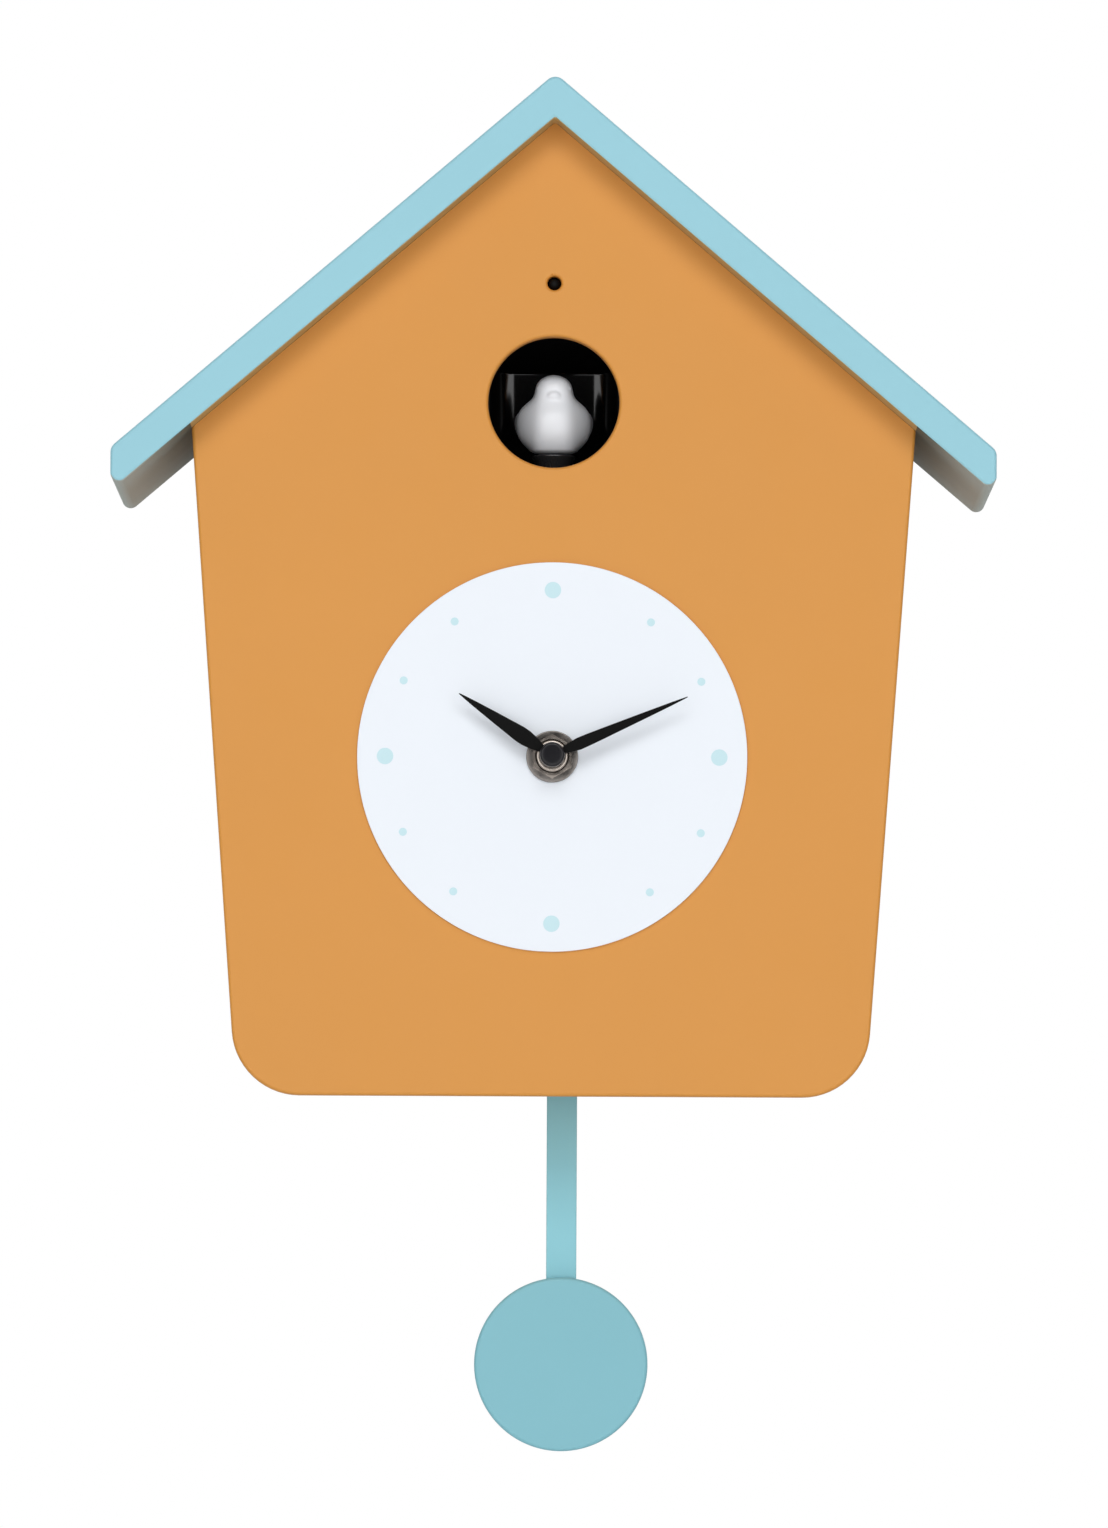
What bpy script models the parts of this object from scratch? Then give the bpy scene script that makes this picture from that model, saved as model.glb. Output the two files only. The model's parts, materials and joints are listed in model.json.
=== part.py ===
"""A wall-hung quartz cuckoo clock with a pitched roof, a swinging pendulum and a bird on a slide.

Metres, +Z up. The front faces -Y and the wall is the plane Y = 0. The origin is the hanging point,
where the wall's hook carries the keyhole in the back cover.
"""

from math import atan2, cos, pi, radians, sin, tan

import bmesh
import bpy
from mathutils import Matrix, Vector

# Case
HOOK_HEIGHT = 0.205  # hanging point above the front panel's bottom edge
BODY_DEPTH = 0.070  # wall to the front panel's front face
FIT = 0.0003  # gap left between pieces that touch
ROOF_WIDTH = 0.215
ROOF_OVERHANG = 0.010
ROOF_THICKNESS = 0.0083
ROOF_SLOPE = radians(40.45)
RIDGE_HEIGHT = 0.2484
RIDGE_RADIUS = 0.0028
EAVE_RADIUS = 0.0028
PANEL_THICKNESS = 0.005
PANEL_HALF_WIDTH = 0.0764  # at the bottom edge, before its corners are rounded
PANEL_TAPER = 0.0726  # sideways per metre of height
PANEL_CORNER = 0.0165
HOUSING_INSET = 0.003
HOUSING_WALL = 0.0025
COVER_THICKNESS = 0.003
SCREW_PLACES = [(-0.0650, 0.011), (0.0650, 0.011), (-0.0752, 0.140), (0.0752, 0.140)]
BOSS_RADIUS = 0.0060
BOSS_DEPTHS = (0.050, 0.0665)
PILOT_RADIUS = 0.0016
SHANK_RADIUS = 0.0013
CLEARANCE_RADIUS = 0.0017
HEAD_RADIUS = 0.0028
SINK_RADIUS = 0.0032
SWING_SLOT = (0.020, 0.029, 0.038, 0.012)  # half width, first and last depth, height in the floor
LEVER_SLOT = (-0.0255, -0.0145, 0.0018)  # first and last x, half height
SOUND_SLOTS = 7
SOUND_SLOT_PITCH = 0.0052
SOUND_SLOT_HALF = 0.0011

# Face
DIAL_HEIGHT = 0.0824
DIAL_RADIUS = 0.0474
DIAL_THICKNESS = 0.0008
WINDOW_HEIGHT = 0.1690
WINDOW_RADIUS = 0.016
SENSOR_HEIGHT = 0.1981
SENSOR_HOLE_RADIUS = 0.0017
BUSHING_RADIUS = 0.0040
BUSHING_HOLE_RADIUS = 0.0043

# Hub: depths behind the panel's front face, so those in front of it are negative
WASHER_RADIUS = 0.0063
WASHER_DEPTHS = (-0.0018, -0.0010)
NUT_RADIUS = 0.00545
NUT_HOLE_RADIUS = 0.00415
NUT_DEPTHS = (-0.0042, -0.0019)
HOUR_HAND_DEPTHS = (-0.0060, -0.0054)
HOUR_HUB = (0.0029, 0.0021)  # outer and inner radius
MINUTE_HAND_DEPTHS = (-0.0072, -0.0066)
MINUTE_HUB = (0.0027, 0.0011)

# Hands, at eleven minutes past ten
HOUR_HAND = {"length": 0.0272, "widest_at": 0.0089, "width": 0.0040, "neck": 0.0014}
MINUTE_HAND = {"length": 0.0358, "widest_at": 0.0079, "width": 0.0030, "neck": 0.0013}
HOUR_ANGLE = radians(-56.5)  # clockwise from twelve, seen from the front
MINUTE_ANGLE = radians(66.4)

# Movement: depths behind the panel's front face
CASE_SIDE = 0.062
CASE_FRONT = 0.0053
CASE_REAR = 0.0214
CASE_WALL = 0.0012
WHEEL_THICKNESS = 0.0010
HOUR_LEVEL = 0.0076
CANNON_LEVEL = 0.0090
CENTRE_LEVEL = 0.0104
THIRD_LEVEL = 0.0118
SECONDS_LEVEL = 0.0132
INTERMEDIATE_LEVEL = 0.0146
ROTOR_LEVEL = 0.0160
BRIDGE_LEVEL = 0.0188
ARBOR_RADIUS = 0.00045
PIVOT_HOLE_RADIUS = 0.00065
TRAIN_MODULE = 0.00025
MOTION_MODULE = 0.00035
TOOTH_TIP = 0.65  # in modules, outside the pitch circle
TOOTH_ROOT = 1.05  # in modules, inside it
TEETH = {
    "rotor": 8,
    "intermediate_wheel": 32,
    "intermediate_pinion": 8,
    "seconds_wheel": 60,
    "seconds_pinion": 8,
    "third_wheel": 64,
    "third_pinion": 8,
    "centre_wheel": 60,
    "cannon_pinion": 10,
    "minute_wheel": 30,
    "minute_pinion": 8,
    "hour_wheel": 32,
    "setting_pinion": 10,
}
CENTRE_SHAFT_RADIUS = 0.0010
HOUR_TUBE_RADIUS = 0.0020

# Pendulum
PENDULUM_X = 0.0028
PIVOT_HEIGHT = 0.108
PENDULUM_BOTTOM = -0.0647  # height of the disc's centre
DISC_RADIUS = 0.02125
DISC_DEPTH = (0.0304, 0.0341)
ROD_WIDTH = 0.0074
ROD_DEPTH = (0.0344, 0.0356)
PEG_HEIGHT = 0.060

# Bird and its drive
CHAMBER_HALF_WIDTH = 0.019
CHAMBER_FLOOR = 0.1505
CHAMBER_CEILING = 0.1856
CHAMBER_REAR = 0.045
CHAMBER_CORNER = 0.014
CHAMBER_WALL = 0.0012
BIRD_DEPTH = 0.0195  # the stand's axis behind the panel's front face, with the bird inside
BIRD_FOOT = 0.1578
RACK_MODULE = 0.0008
RACK_LINE_X = 0.0080
RACK_PINION_TEETH = 12
RACK_WHEEL_TEETH = 32
MOTOR_PINION_TEETH = 8
MOTOR_MODULE = 0.0005
MOTOR_DIRECTION = radians(40)

# Electronics and power
SPEAKER_X = -0.042
SPEAKER_HEIGHT = 0.045
SPEAKER_RADIUS = 0.025
BATTERY_X = 0.040
BATTERY_HEIGHT = 0.042
BATTERY_PITCH = 0.0148
BATTERY_RADIUS = 0.0070
BATTERY_LENGTH = 0.0495
BATTERY_DEPTH = 0.059
DOOR_HALF_WIDTH = 0.0266
DOOR_HINGE_HEIGHT = 0.0640
DOOR_DROP = 0.0430
CONTROL_HEIGHT = 0.131
VOLUME_X = 0.020
VOLUME_HOLE_RADIUS = 0.0054
BUTTON_HOLE_RADIUS = 0.0034
KNOB_HOLE_RADIUS = 0.0065

SIDES = 20  # sides of an ordinary round piece
FINE_SIDES = 48  # sides of a large round edge that shows


def up(height):
    """Z of a height above the front panel's bottom edge."""
    return height - HOOK_HEIGHT


def back(depth):
    """Y of a depth behind the front panel's front face."""
    return depth - BODY_DEPTH


# ---------------------------------------------------------------- scene and materials

for old in list(bpy.data.objects):
    bpy.data.objects.remove(old, do_unlink=True)

PARTS = bpy.data.collections.new("cuckoo_clock")
CUTTERS = bpy.data.collections.new("cuckoo_clock_cutters")
bpy.context.scene.collection.children.link(PARTS)
bpy.context.scene.collection.children.link(CUTTERS)


def material(name, colour, roughness, metallic=0.0):
    made = bpy.data.materials.new(name)
    made.use_nodes = True
    shader = made.node_tree.nodes["Principled BSDF"]
    shader.inputs["Base Color"].default_value = (*colour, 1.0)
    shader.inputs["Roughness"].default_value = roughness
    shader.inputs["Metallic"].default_value = metallic
    made.diffuse_color = (*colour, 1.0)
    return made


ROOF_BLUE = material("roof_blue", (0.34, 0.63, 0.71), 0.45)
PENDULUM_BLUE = material("pendulum_blue", (0.24, 0.53, 0.60), 0.45)
PANEL_ORANGE = material("panel_orange", (0.71, 0.33, 0.085), 0.5)
DIAL_WHITE = material("dial_white", (0.87, 0.91, 0.97), 0.6)
HAND_BLACK = material("hand_black", (0.010, 0.010, 0.011), 0.5)
CHAMBER_BLACK = material("chamber_black", (0.006, 0.006, 0.007), 0.12)
BIRD_WHITE = material("bird_white", (0.82, 0.82, 0.84), 0.45)
NUT_METAL = material("nut_metal", (0.30, 0.26, 0.23), 0.22, 1.0)
BRASS = material("brass", (0.70, 0.52, 0.24), 0.35, 1.0)
STEEL = material("steel", (0.58, 0.58, 0.60), 0.35, 1.0)
FERRITE = material("ferrite", (0.06, 0.06, 0.065), 0.6)
COPPER = material("copper", (0.72, 0.33, 0.16), 0.35, 1.0)
CASE_GREY = material("case_grey", (0.05, 0.05, 0.055), 0.5)
GEAR_WHITE = material("gear_white", (0.72, 0.72, 0.68), 0.45)
BOARD_GREEN = material("board_green", (0.02, 0.20, 0.08), 0.4)
CONE_BLACK = material("cone_black", (0.03, 0.03, 0.03), 0.8)
CELL_WRAP = material("cell_wrap", (0.20, 0.22, 0.24), 0.3)


# ---------------------------------------------------------------- modelling helpers


def add(name, data, finish, at=(0, 0, 0), turn=(0, 0, 0)):
    obj = bpy.data.objects.new(name, data)
    PARTS.objects.link(obj)
    obj.location = at
    obj.rotation_euler = turn
    data.materials.append(finish)
    return obj


def helper(obj):
    """Makes an object a hidden tool of a Boolean."""
    PARTS.objects.unlink(obj)
    CUTTERS.objects.link(obj)
    obj.hide_render = True
    obj.display_type = "WIRE"
    return obj


def boolean(obj, others, operation):
    for other in others:
        modifier = obj.modifiers.new(other.name, "BOOLEAN")
        modifier.operation = operation
        modifier.solver = "EXACT"
        modifier.object = helper(other)
    return obj


def cut(obj, *others):
    return boolean(obj, others, "DIFFERENCE")


def join(obj, *others):
    return boolean(obj, others, "UNION")


def bevel(obj, width):
    modifier = obj.modifiers.new("edge", "BEVEL")
    modifier.width = width
    modifier.segments = 1
    modifier.limit_method = "ANGLE"
    modifier.angle_limit = radians(40)


def box_mesh(size):
    mesh = bpy.data.meshes.new("box")
    bm = bmesh.new()
    bmesh.ops.create_cube(bm, size=1, matrix=Matrix.Diagonal((*size, 1)))
    bm.to_mesh(mesh)
    bm.free()
    return mesh


def box(name, low, high, finish):
    """A block between two corners, each given as x, depth behind the face and height."""
    low = Vector((low[0], back(low[1]), up(low[2])))
    high = Vector((high[0], back(high[1]), up(high[2])))
    return add(name, box_mesh(high - low), finish, (low + high) / 2)


def rod_mesh(radius, length, sides):
    mesh = bpy.data.meshes.new("rod")
    bm = bmesh.new()
    bmesh.ops.create_cone(
        bm, cap_ends=True, segments=sides, radius1=radius, radius2=radius, depth=length
    )
    bm.to_mesh(mesh)
    bm.free()
    mesh.shade_smooth()
    mesh.set_sharp_from_angle(angle=radians(35))
    return mesh


FACING = (radians(90), 0, 0)  # local X and Y become world X and Z, local Z faces the front
SIDEWAYS = (0, radians(90), 0)  # local Z becomes world X


def pin(name, radius, x, height, depths, finish, sides=SIDES):
    """A cylinder along Y between two depths."""
    middle = (depths[0] + depths[1]) / 2
    mesh = rod_mesh(radius, depths[1] - depths[0], sides)
    return add(name, mesh, finish, (x, back(middle), up(height)), FACING)


def post(name, radius, x, depth, heights, finish, sides=SIDES):
    """A cylinder along Z between two heights."""
    middle = (heights[0] + heights[1]) / 2
    mesh = rod_mesh(radius, heights[1] - heights[0], sides)
    return add(name, mesh, finish, (x, back(depth), up(middle)))


def circle(radius, x=0.0, y=0.0, sides=SIDES):
    return [
        (x + radius * cos(2 * pi * i / sides), y + radius * sin(2 * pi * i / sides))
        for i in range(sides)
    ]


def rectangle(x0, y0, x1, y1):
    return [(x0, y0), (x1, y0), (x1, y1), (x0, y1)]


def rounded(corners, steps=6):
    """An outline whose corners, each (x, y, radius), are turned into arcs."""
    points = []
    for i, (x, y, radius) in enumerate(corners):
        here = Vector((x, y))
        if not radius:
            points.append((x, y))
            continue
        before = (Vector(corners[i - 1][:2]) - here).normalized()
        after = (Vector(corners[(i + 1) % len(corners)][:2]) - here).normalized()
        half = before.angle(after) / 2
        centre = here + (before + after).normalized() * radius / sin(half)
        start = here + before * radius / tan(half) - centre
        sweep = (pi - 2 * half) * (1 if before.cross(after) < 0 else -1)
        for step in range(steps + 1):
            turned = Matrix.Rotation(sweep * step / steps, 2) @ start
            points.append(tuple(centre + turned))
    return points


def plate_mesh(loops, thickness):
    """A flat outline with its holes, made solid about its own XY plane."""
    curve = bpy.data.curves.new("outline", "CURVE")
    curve.dimensions = "2D"
    curve.fill_mode = "BOTH"
    curve.extrude = thickness / 2
    for loop in loops:
        spline = curve.splines.new("POLY")
        spline.points.add(len(loop) - 1)
        spline.use_cyclic_u = True
        for point, (x, y) in zip(spline.points, loop):
            point.co = (x, y, 0, 1)
    obj = bpy.data.objects.new("outline", curve)
    bpy.context.scene.collection.objects.link(obj)
    graph = bpy.context.evaluated_depsgraph_get()
    mesh = bpy.data.meshes.new_from_object(obj.evaluated_get(graph))
    bpy.data.objects.remove(obj)
    bm = bmesh.new()
    bm.from_mesh(mesh)
    bmesh.ops.remove_doubles(bm, verts=bm.verts, dist=1e-6)
    bmesh.ops.recalc_face_normals(bm, faces=bm.faces)
    bm.to_mesh(mesh)
    bm.free()
    return mesh


def plate(name, loops, depths, finish, x=0.0, height=0.0):
    """A flat piece facing the front between two depths; its outline is x and height."""
    mesh = plate_mesh(loops, depths[1] - depths[0])
    middle = (depths[0] + depths[1]) / 2
    return add(name, mesh, finish, (x, back(middle), up(height)), FACING)


def level(name, loops, heights, finish, x=0.0, depth=0.0):
    """A flat piece lying level between two heights; its outline is x and Y."""
    mesh = plate_mesh(loops, heights[1] - heights[0])
    middle = (heights[0] + heights[1]) / 2
    return add(name, mesh, finish, (x, back(depth), up(middle)))


def turned(name, profile, finish, at, turn=FACING, sides=SIDES, ring=False):
    """A turned piece. Its profile is (radius, height) from top to bottom on the outer side."""
    mesh = bpy.data.meshes.new(name)
    points = [(radius, 0, height) for radius, height in profile]
    edges = [(i, i + 1) for i in range(len(points) - 1)]
    if ring:
        edges.append((len(points) - 1, 0))
    mesh.from_pydata(points, edges, [])
    obj = add(name, mesh, finish, at, turn)
    screw = obj.modifiers.new("turn", "SCREW")
    screw.steps = sides
    screw.render_steps = sides
    screw.use_merge_vertices = True
    screw.merge_threshold = 1e-6
    screw.use_smooth_shade = False
    return obj


def facing_turned(name, profile, finish, x, height, sides=SIDES, ring=False):
    """A turned piece about Y. Its profile is (radius, depth), front end first."""
    flipped = [(radius, -depth) for radius, depth in profile]
    return turned(name, flipped, finish, (x, back(0), up(height)), FACING, sides, ring)


def axis(name, at):
    """An empty on a joint's axis, for the pieces that move with it."""
    empty = bpy.data.objects.new(name, None)
    empty.empty_display_size = 0.01
    PARTS.objects.link(empty)
    empty.location = at
    return empty


def carry(empty, *pieces):
    """Parents pieces to an empty and leaves them where they are."""
    for piece in pieces:
        piece.parent = empty
        piece.matrix_parent_inverse = Matrix.Translation(-empty.location)


# ---------------------------------------------------------------- outlines


def panel_side(height):
    """Half the front panel's width at a height."""
    return PANEL_HALF_WIDTH + PANEL_TAPER * height


def roof_underside(x):
    """Height of the roof's underside at a distance from the middle."""
    ridge = RIDGE_HEIGHT - ROOF_THICKNESS / cos(ROOF_SLOPE)
    return ridge - abs(x) * tan(ROOF_SLOPE)


def house_outline(inset, corner, roof_gap):
    """The front panel's outline, moved in by an inset and kept clear of the roof."""
    peak = roof_underside(0) - roof_gap / cos(ROOF_SLOPE)
    bottom_x = panel_side(0) - inset
    shoulder_z = (peak - bottom_x * tan(ROOF_SLOPE)) / (1 + PANEL_TAPER * tan(ROOF_SLOPE))
    shoulder_x = bottom_x + PANEL_TAPER * shoulder_z
    corners = [
        (-bottom_x - PANEL_TAPER * inset, inset, corner),
        (bottom_x + PANEL_TAPER * inset, inset, corner),
        (shoulder_x, shoulder_z, 0),
        (0, peak, 0),
        (-shoulder_x, shoulder_z, 0),
    ]
    return rounded(corners)


def gear_outline(teeth, module, phase=0.0):
    """A gear's outline: pointed teeth, one of them centred on the phase."""
    points = []
    for i in range(teeth):
        for share, reach in ((0, TOOTH_TIP), (0.5, -TOOTH_ROOT)):
            angle = phase + 2 * pi * (i + share) / teeth
            radius = module * (teeth / 2 + reach)
            points.append((radius * cos(angle), radius * sin(angle)))
    return points


def meshed(driver_at, driver_teeth, driver_phase, at, teeth):
    """The phase that puts a gear's gap on the tooth of the gear that drives it."""
    line = atan2(at[1] - driver_at[1], at[0] - driver_at[0])
    offset = (line - driver_phase) * driver_teeth / (2 * pi)
    return line + pi - (0.5 - offset) * 2 * pi / teeth


def hand_outline(hand):
    """A leaf-shaped hand along +Y from its neck at the hub to its tip."""
    near = 0.0024
    return [
        (-hand["neck"] / 2, near),
        (hand["neck"] / 2, near),
        (hand["width"] / 2, hand["widest_at"]),
        (hand["width"] * 0.20, hand["length"] * 0.80),
        (0.0001, hand["length"]),
        (-0.0001, hand["length"]),
        (-hand["width"] * 0.20, hand["length"] * 0.80),
        (-hand["width"] / 2, hand["widest_at"]),
    ]


# ---------------------------------------------------------------- case


def make_case():
    half = ROOF_WIDTH / 2
    drop = half * tan(ROOF_SLOPE)
    inner = RIDGE_HEIGHT - ROOF_THICKNESS / cos(ROOF_SLOPE)
    outline = rounded(
        [
            (0, RIDGE_HEIGHT, RIDGE_RADIUS),
            (-half, RIDGE_HEIGHT - drop, EAVE_RADIUS),
            (-half, inner - drop, EAVE_RADIUS * 0.75),
            (0, inner, 0),
            (half, inner - drop, EAVE_RADIUS * 0.75),
            (half, RIDGE_HEIGHT - drop, EAVE_RADIUS),
        ],
        steps=4,
    )
    roof = plate("roof", [outline], (-ROOF_OVERHANG, BODY_DEPTH), ROOF_BLUE)
    bevel(roof, 0.0006)

    openings = [
        circle(WINDOW_RADIUS, 0, WINDOW_HEIGHT, FINE_SIDES),
        circle(SENSOR_HOLE_RADIUS, 0, SENSOR_HEIGHT),
        circle(BUSHING_HOLE_RADIUS, 0, DIAL_HEIGHT),
    ]
    front = house_outline(0, PANEL_CORNER, FIT)
    panel = plate("front_panel", [front, *openings], (0, PANEL_THICKNESS), PANEL_ORANGE)
    bevel(panel, 0.0006)

    outer = house_outline(HOUSING_INSET, PANEL_CORNER - HOUSING_INSET, FIT)
    wall_inset = HOUSING_INSET + HOUSING_WALL
    inner_wall = house_outline(wall_inset, PANEL_CORNER - wall_inset, FIT + HOUSING_WALL)
    start = PANEL_THICKNESS + FIT
    housing = plate("housing", [outer, inner_wall], (start, BODY_DEPTH), PANEL_ORANGE)
    bosses = []
    pilots = []
    for x, z in SCREW_PLACES:
        bosses.append(pin("boss", BOSS_RADIUS, x, z, BOSS_DEPTHS, PANEL_ORANGE, 12))
        pilots.append(pin("pilot", PILOT_RADIUS, x, z, (0.055, 0.080), PANEL_ORANGE, 12))
    swing, first, last, height = SWING_SLOT
    low = (PENDULUM_X - swing, first, -0.01)
    high = (PENDULUM_X + swing, last, height)
    slot = box("pendulum_slot", low, high, PANEL_ORANGE)
    join(housing, *bosses)
    cut(housing, slot, *pilots)

    cover_inset = wall_inset + FIT
    cover = house_outline(cover_inset, PANEL_CORNER - cover_inset, FIT + HOUSING_WALL + FIT)
    left, right, half_slot = LEVER_SLOT
    holes = [
        keyhole(1.0),
        battery_opening(),
        circle(KNOB_HOLE_RADIUS, *SETTING_PLACE, SIDES),
        circle(VOLUME_HOLE_RADIUS, VOLUME_X, CONTROL_HEIGHT),
        circle(BUTTON_HOLE_RADIUS, 0.0, CONTROL_HEIGHT),
        rectangle(left, CONTROL_HEIGHT - half_slot, right, CONTROL_HEIGHT + half_slot),
    ]
    for i in range(SOUND_SLOTS):
        step = i - (SOUND_SLOTS - 1) / 2
        reach = 0.019 * cos(step / 4)
        x = SPEAKER_X + step * SOUND_SLOT_PITCH
        low, high = SPEAKER_HEIGHT - reach, SPEAKER_HEIGHT + reach
        holes.append(rectangle(x - SOUND_SLOT_HALF, low, x + SOUND_SLOT_HALF, high))
    for x, z in SCREW_PLACES:
        holes.append(circle(CLEARANCE_RADIUS, x, z, 12))
    rear = BODY_DEPTH - COVER_THICKNESS
    back_cover = plate("back_cover", [cover, *holes], (rear, BODY_DEPTH), CASE_GREY)
    hinge_hole = pin("hinge_hole", 0.0011, 0, 0, (0, 2 * DOOR_HALF_WIDTH + 0.0044), CASE_GREY, 12)
    hinge_hole.location = (BATTERY_X, -COVER_THICKNESS / 2, up(DOOR_HINGE_HEIGHT))
    hinge_hole.rotation_euler = SIDEWAYS
    sinks = []
    for x, z in SCREW_PLACES:
        sinks.append(pin("sink", SINK_RADIUS, x, z, (BODY_DEPTH - 0.0016, 0.080), CASE_GREY, 12))
    cut(back_cover, hinge_hole, *sinks)

    for i, (x, z) in enumerate(SCREW_PLACES):
        shank = pin("shank", SHANK_RADIUS, x, z, (0.057, 0.0690), STEEL, 8)
        head = pin(f"cover_screw_{i + 1}", HEAD_RADIUS, x, z, (0.0687, 0.0697), STEEL, 16)
        cross = []
        for size in ((0.0036, 0.0008), (0.0008, 0.0036)):
            low = (x - size[0] / 2, 0.0692, z - size[1] / 2)
            high = (x + size[0] / 2, 0.0710, z + size[1] / 2)
            cross.append(box("recess", low, high, STEEL))
        join(head, shank)
        cut(head, *cross)

    hanger = [rectangle(-0.014, HOOK_HEIGHT - 0.012, 0.014, HOOK_HEIGHT + 0.012), keyhole(0.8)]
    plate("hanger_plate", hanger, (rear - FIT - 0.0012, rear - FIT), STEEL)


def keyhole(scale):
    """A round hole for the hook's head with a narrow slot above it, both about the hanging point."""
    head = 0.0046 * scale
    neck = 0.0023 * scale
    points = []
    for i in range(17):
        angle = radians(90) + 0.52 + (2 * pi - 1.04) * i / 16
        points.append((head * cos(angle), HOOK_HEIGHT - 0.005 + head * sin(angle)))
    top = HOOK_HEIGHT + 0.0023
    crown = top + neck * 0.8
    points += [(neck, top), (neck * 0.5, crown), (-neck * 0.5, crown), (-neck, top)]
    return points


def battery_opening():
    top = DOOR_HINGE_HEIGHT + 0.0014
    bottom = DOOR_HINGE_HEIGHT - DOOR_DROP - FIT
    side = DOOR_HALF_WIDTH + FIT
    return rectangle(BATTERY_X - side, bottom, BATTERY_X + side, top)


# ---------------------------------------------------------------- face and hands


def make_hand(name, shape, hub_radii, depths, angle):
    outer, inner = hub_radii
    hub = plate(name, [circle(outer), circle(inner)], depths, HAND_BLACK, 0, DIAL_HEIGHT)
    blade = plate("blade", [hand_outline(shape)], depths, HAND_BLACK, 0, DIAL_HEIGHT)
    hub.rotation_euler = (radians(90), angle, 0)
    blade.rotation_euler = hub.rotation_euler
    join(hub, blade)


def make_face():
    outline = [circle(DIAL_RADIUS, sides=FINE_SIDES), circle(BUSHING_HOLE_RADIUS)]
    dial = plate("dial", outline, (-0.0001 - DIAL_THICKNESS, -0.0001), DIAL_WHITE, 0, DIAL_HEIGHT)
    bevel(dial, 0.0002)
    profile = [(0, 0.0012), (0.0008, 0.00135), (0.00135, 0.0018), (0.00135, 0.0053), (0.0025, 0.0053),
               (0.0025, 0.0090), (0, 0.0090)]
    facing_turned("light_sensor", profile, CHAMBER_BLACK, 0, SENSOR_HEIGHT, 16)

    ring = [circle(WASHER_RADIUS, sides=32), circle(BUSHING_HOLE_RADIUS)]
    plate("washer", ring, WASHER_DEPTHS, NUT_METAL, 0, DIAL_HEIGHT)
    hexagon = [(-y, x) for x, y in circle(NUT_RADIUS, sides=6)]
    loops = [hexagon, circle(NUT_HOLE_RADIUS)]
    nut = plate("hex_nut", loops, NUT_DEPTHS, NUT_METAL, 0, DIAL_HEIGHT)
    bevel(nut, 0.0003)
    profile = [(0.0023, -0.0044), (0.0036, -0.0044), (BUSHING_RADIUS, -0.0040), (BUSHING_RADIUS, 0.0066),
               (0.0052, 0.0067), (0.0052, 0.0073), (0.0023, 0.0073)]
    facing_turned("threaded_bushing", profile, BRASS, 0, DIAL_HEIGHT, SIDES, ring=True)

    make_hand("hour_hand", HOUR_HAND, HOUR_HUB, HOUR_HAND_DEPTHS, HOUR_ANGLE)
    make_hand("minute_hand", MINUTE_HAND, MINUTE_HUB, MINUTE_HAND_DEPTHS, MINUTE_ANGLE)
    profile = [(0, -0.0106), (0.0022, -0.0105), (0.0029, -0.0099), (0.0030, -0.0075), (0.0012, -0.0075),
               (0.0012, -0.0092), (0, -0.0092)]
    facing_turned("hand_cap", profile, HAND_BLACK, 0, DIAL_HEIGHT)


# ---------------------------------------------------------------- movement


def along(start, angle, distance):
    return (start[0] + distance * cos(angle), start[1] + distance * sin(angle))


def pitch_distance(first, second, module):
    return (TEETH[first] + TEETH[second]) * module / 2


CENTRE = (0.0, DIAL_HEIGHT)
MINUTE_ARBOR = along(CENTRE, radians(30), pitch_distance("cannon_pinion", "minute_wheel", MOTION_MODULE))
SETTING_PLACE = along(
    MINUTE_ARBOR, radians(10), pitch_distance("minute_wheel", "setting_pinion", MOTION_MODULE)
)
THIRD_ARBOR = along(CENTRE, radians(200), pitch_distance("centre_wheel", "third_pinion", TRAIN_MODULE))
SECONDS_ARBOR = along(
    THIRD_ARBOR, radians(250), pitch_distance("third_wheel", "seconds_pinion", TRAIN_MODULE)
)
INTERMEDIATE_ARBOR = along(
    SECONDS_ARBOR, radians(330), pitch_distance("seconds_wheel", "intermediate_pinion", TRAIN_MODULE)
)
ROTOR_ARBOR = along(
    INTERMEDIATE_ARBOR, radians(20), pitch_distance("intermediate_wheel", "rotor", TRAIN_MODULE)
)


def gear(name, teeth, module, at, depth, phase, thickness=WHEEL_THICKNESS, bore=None):
    loops = [gear_outline(teeth, module, phase)]
    if bore:
        loops.append(circle(bore, sides=16))
    return plate(name, loops, (depth, depth + thickness), GEAR_WHITE, *at)


def wheel_and_pinion(name, wheel, pinion, at, wheel_level, pinion_level, wheel_phase, arbor):
    """A wheel and its pinion on one arbor; the arbor's depths are its two ends."""
    first, second = sorted((wheel_level, pinion_level))
    body = gear(name, TEETH[wheel], TRAIN_MODULE, at, wheel_level, wheel_phase)
    low = pinion_level if pinion_level == first else wheel_level + WHEEL_THICKNESS / 2
    high = second + WHEEL_THICKNESS if pinion_level == second else wheel_level + WHEEL_THICKNESS / 2
    leaves = gear("leaves", TEETH[pinion], TRAIN_MODULE, at, low, 0, high - low)
    shaft = pin("arbor", ARBOR_RADIUS, *at, arbor, STEEL, 8)
    return join(body, leaves, shaft)


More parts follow.
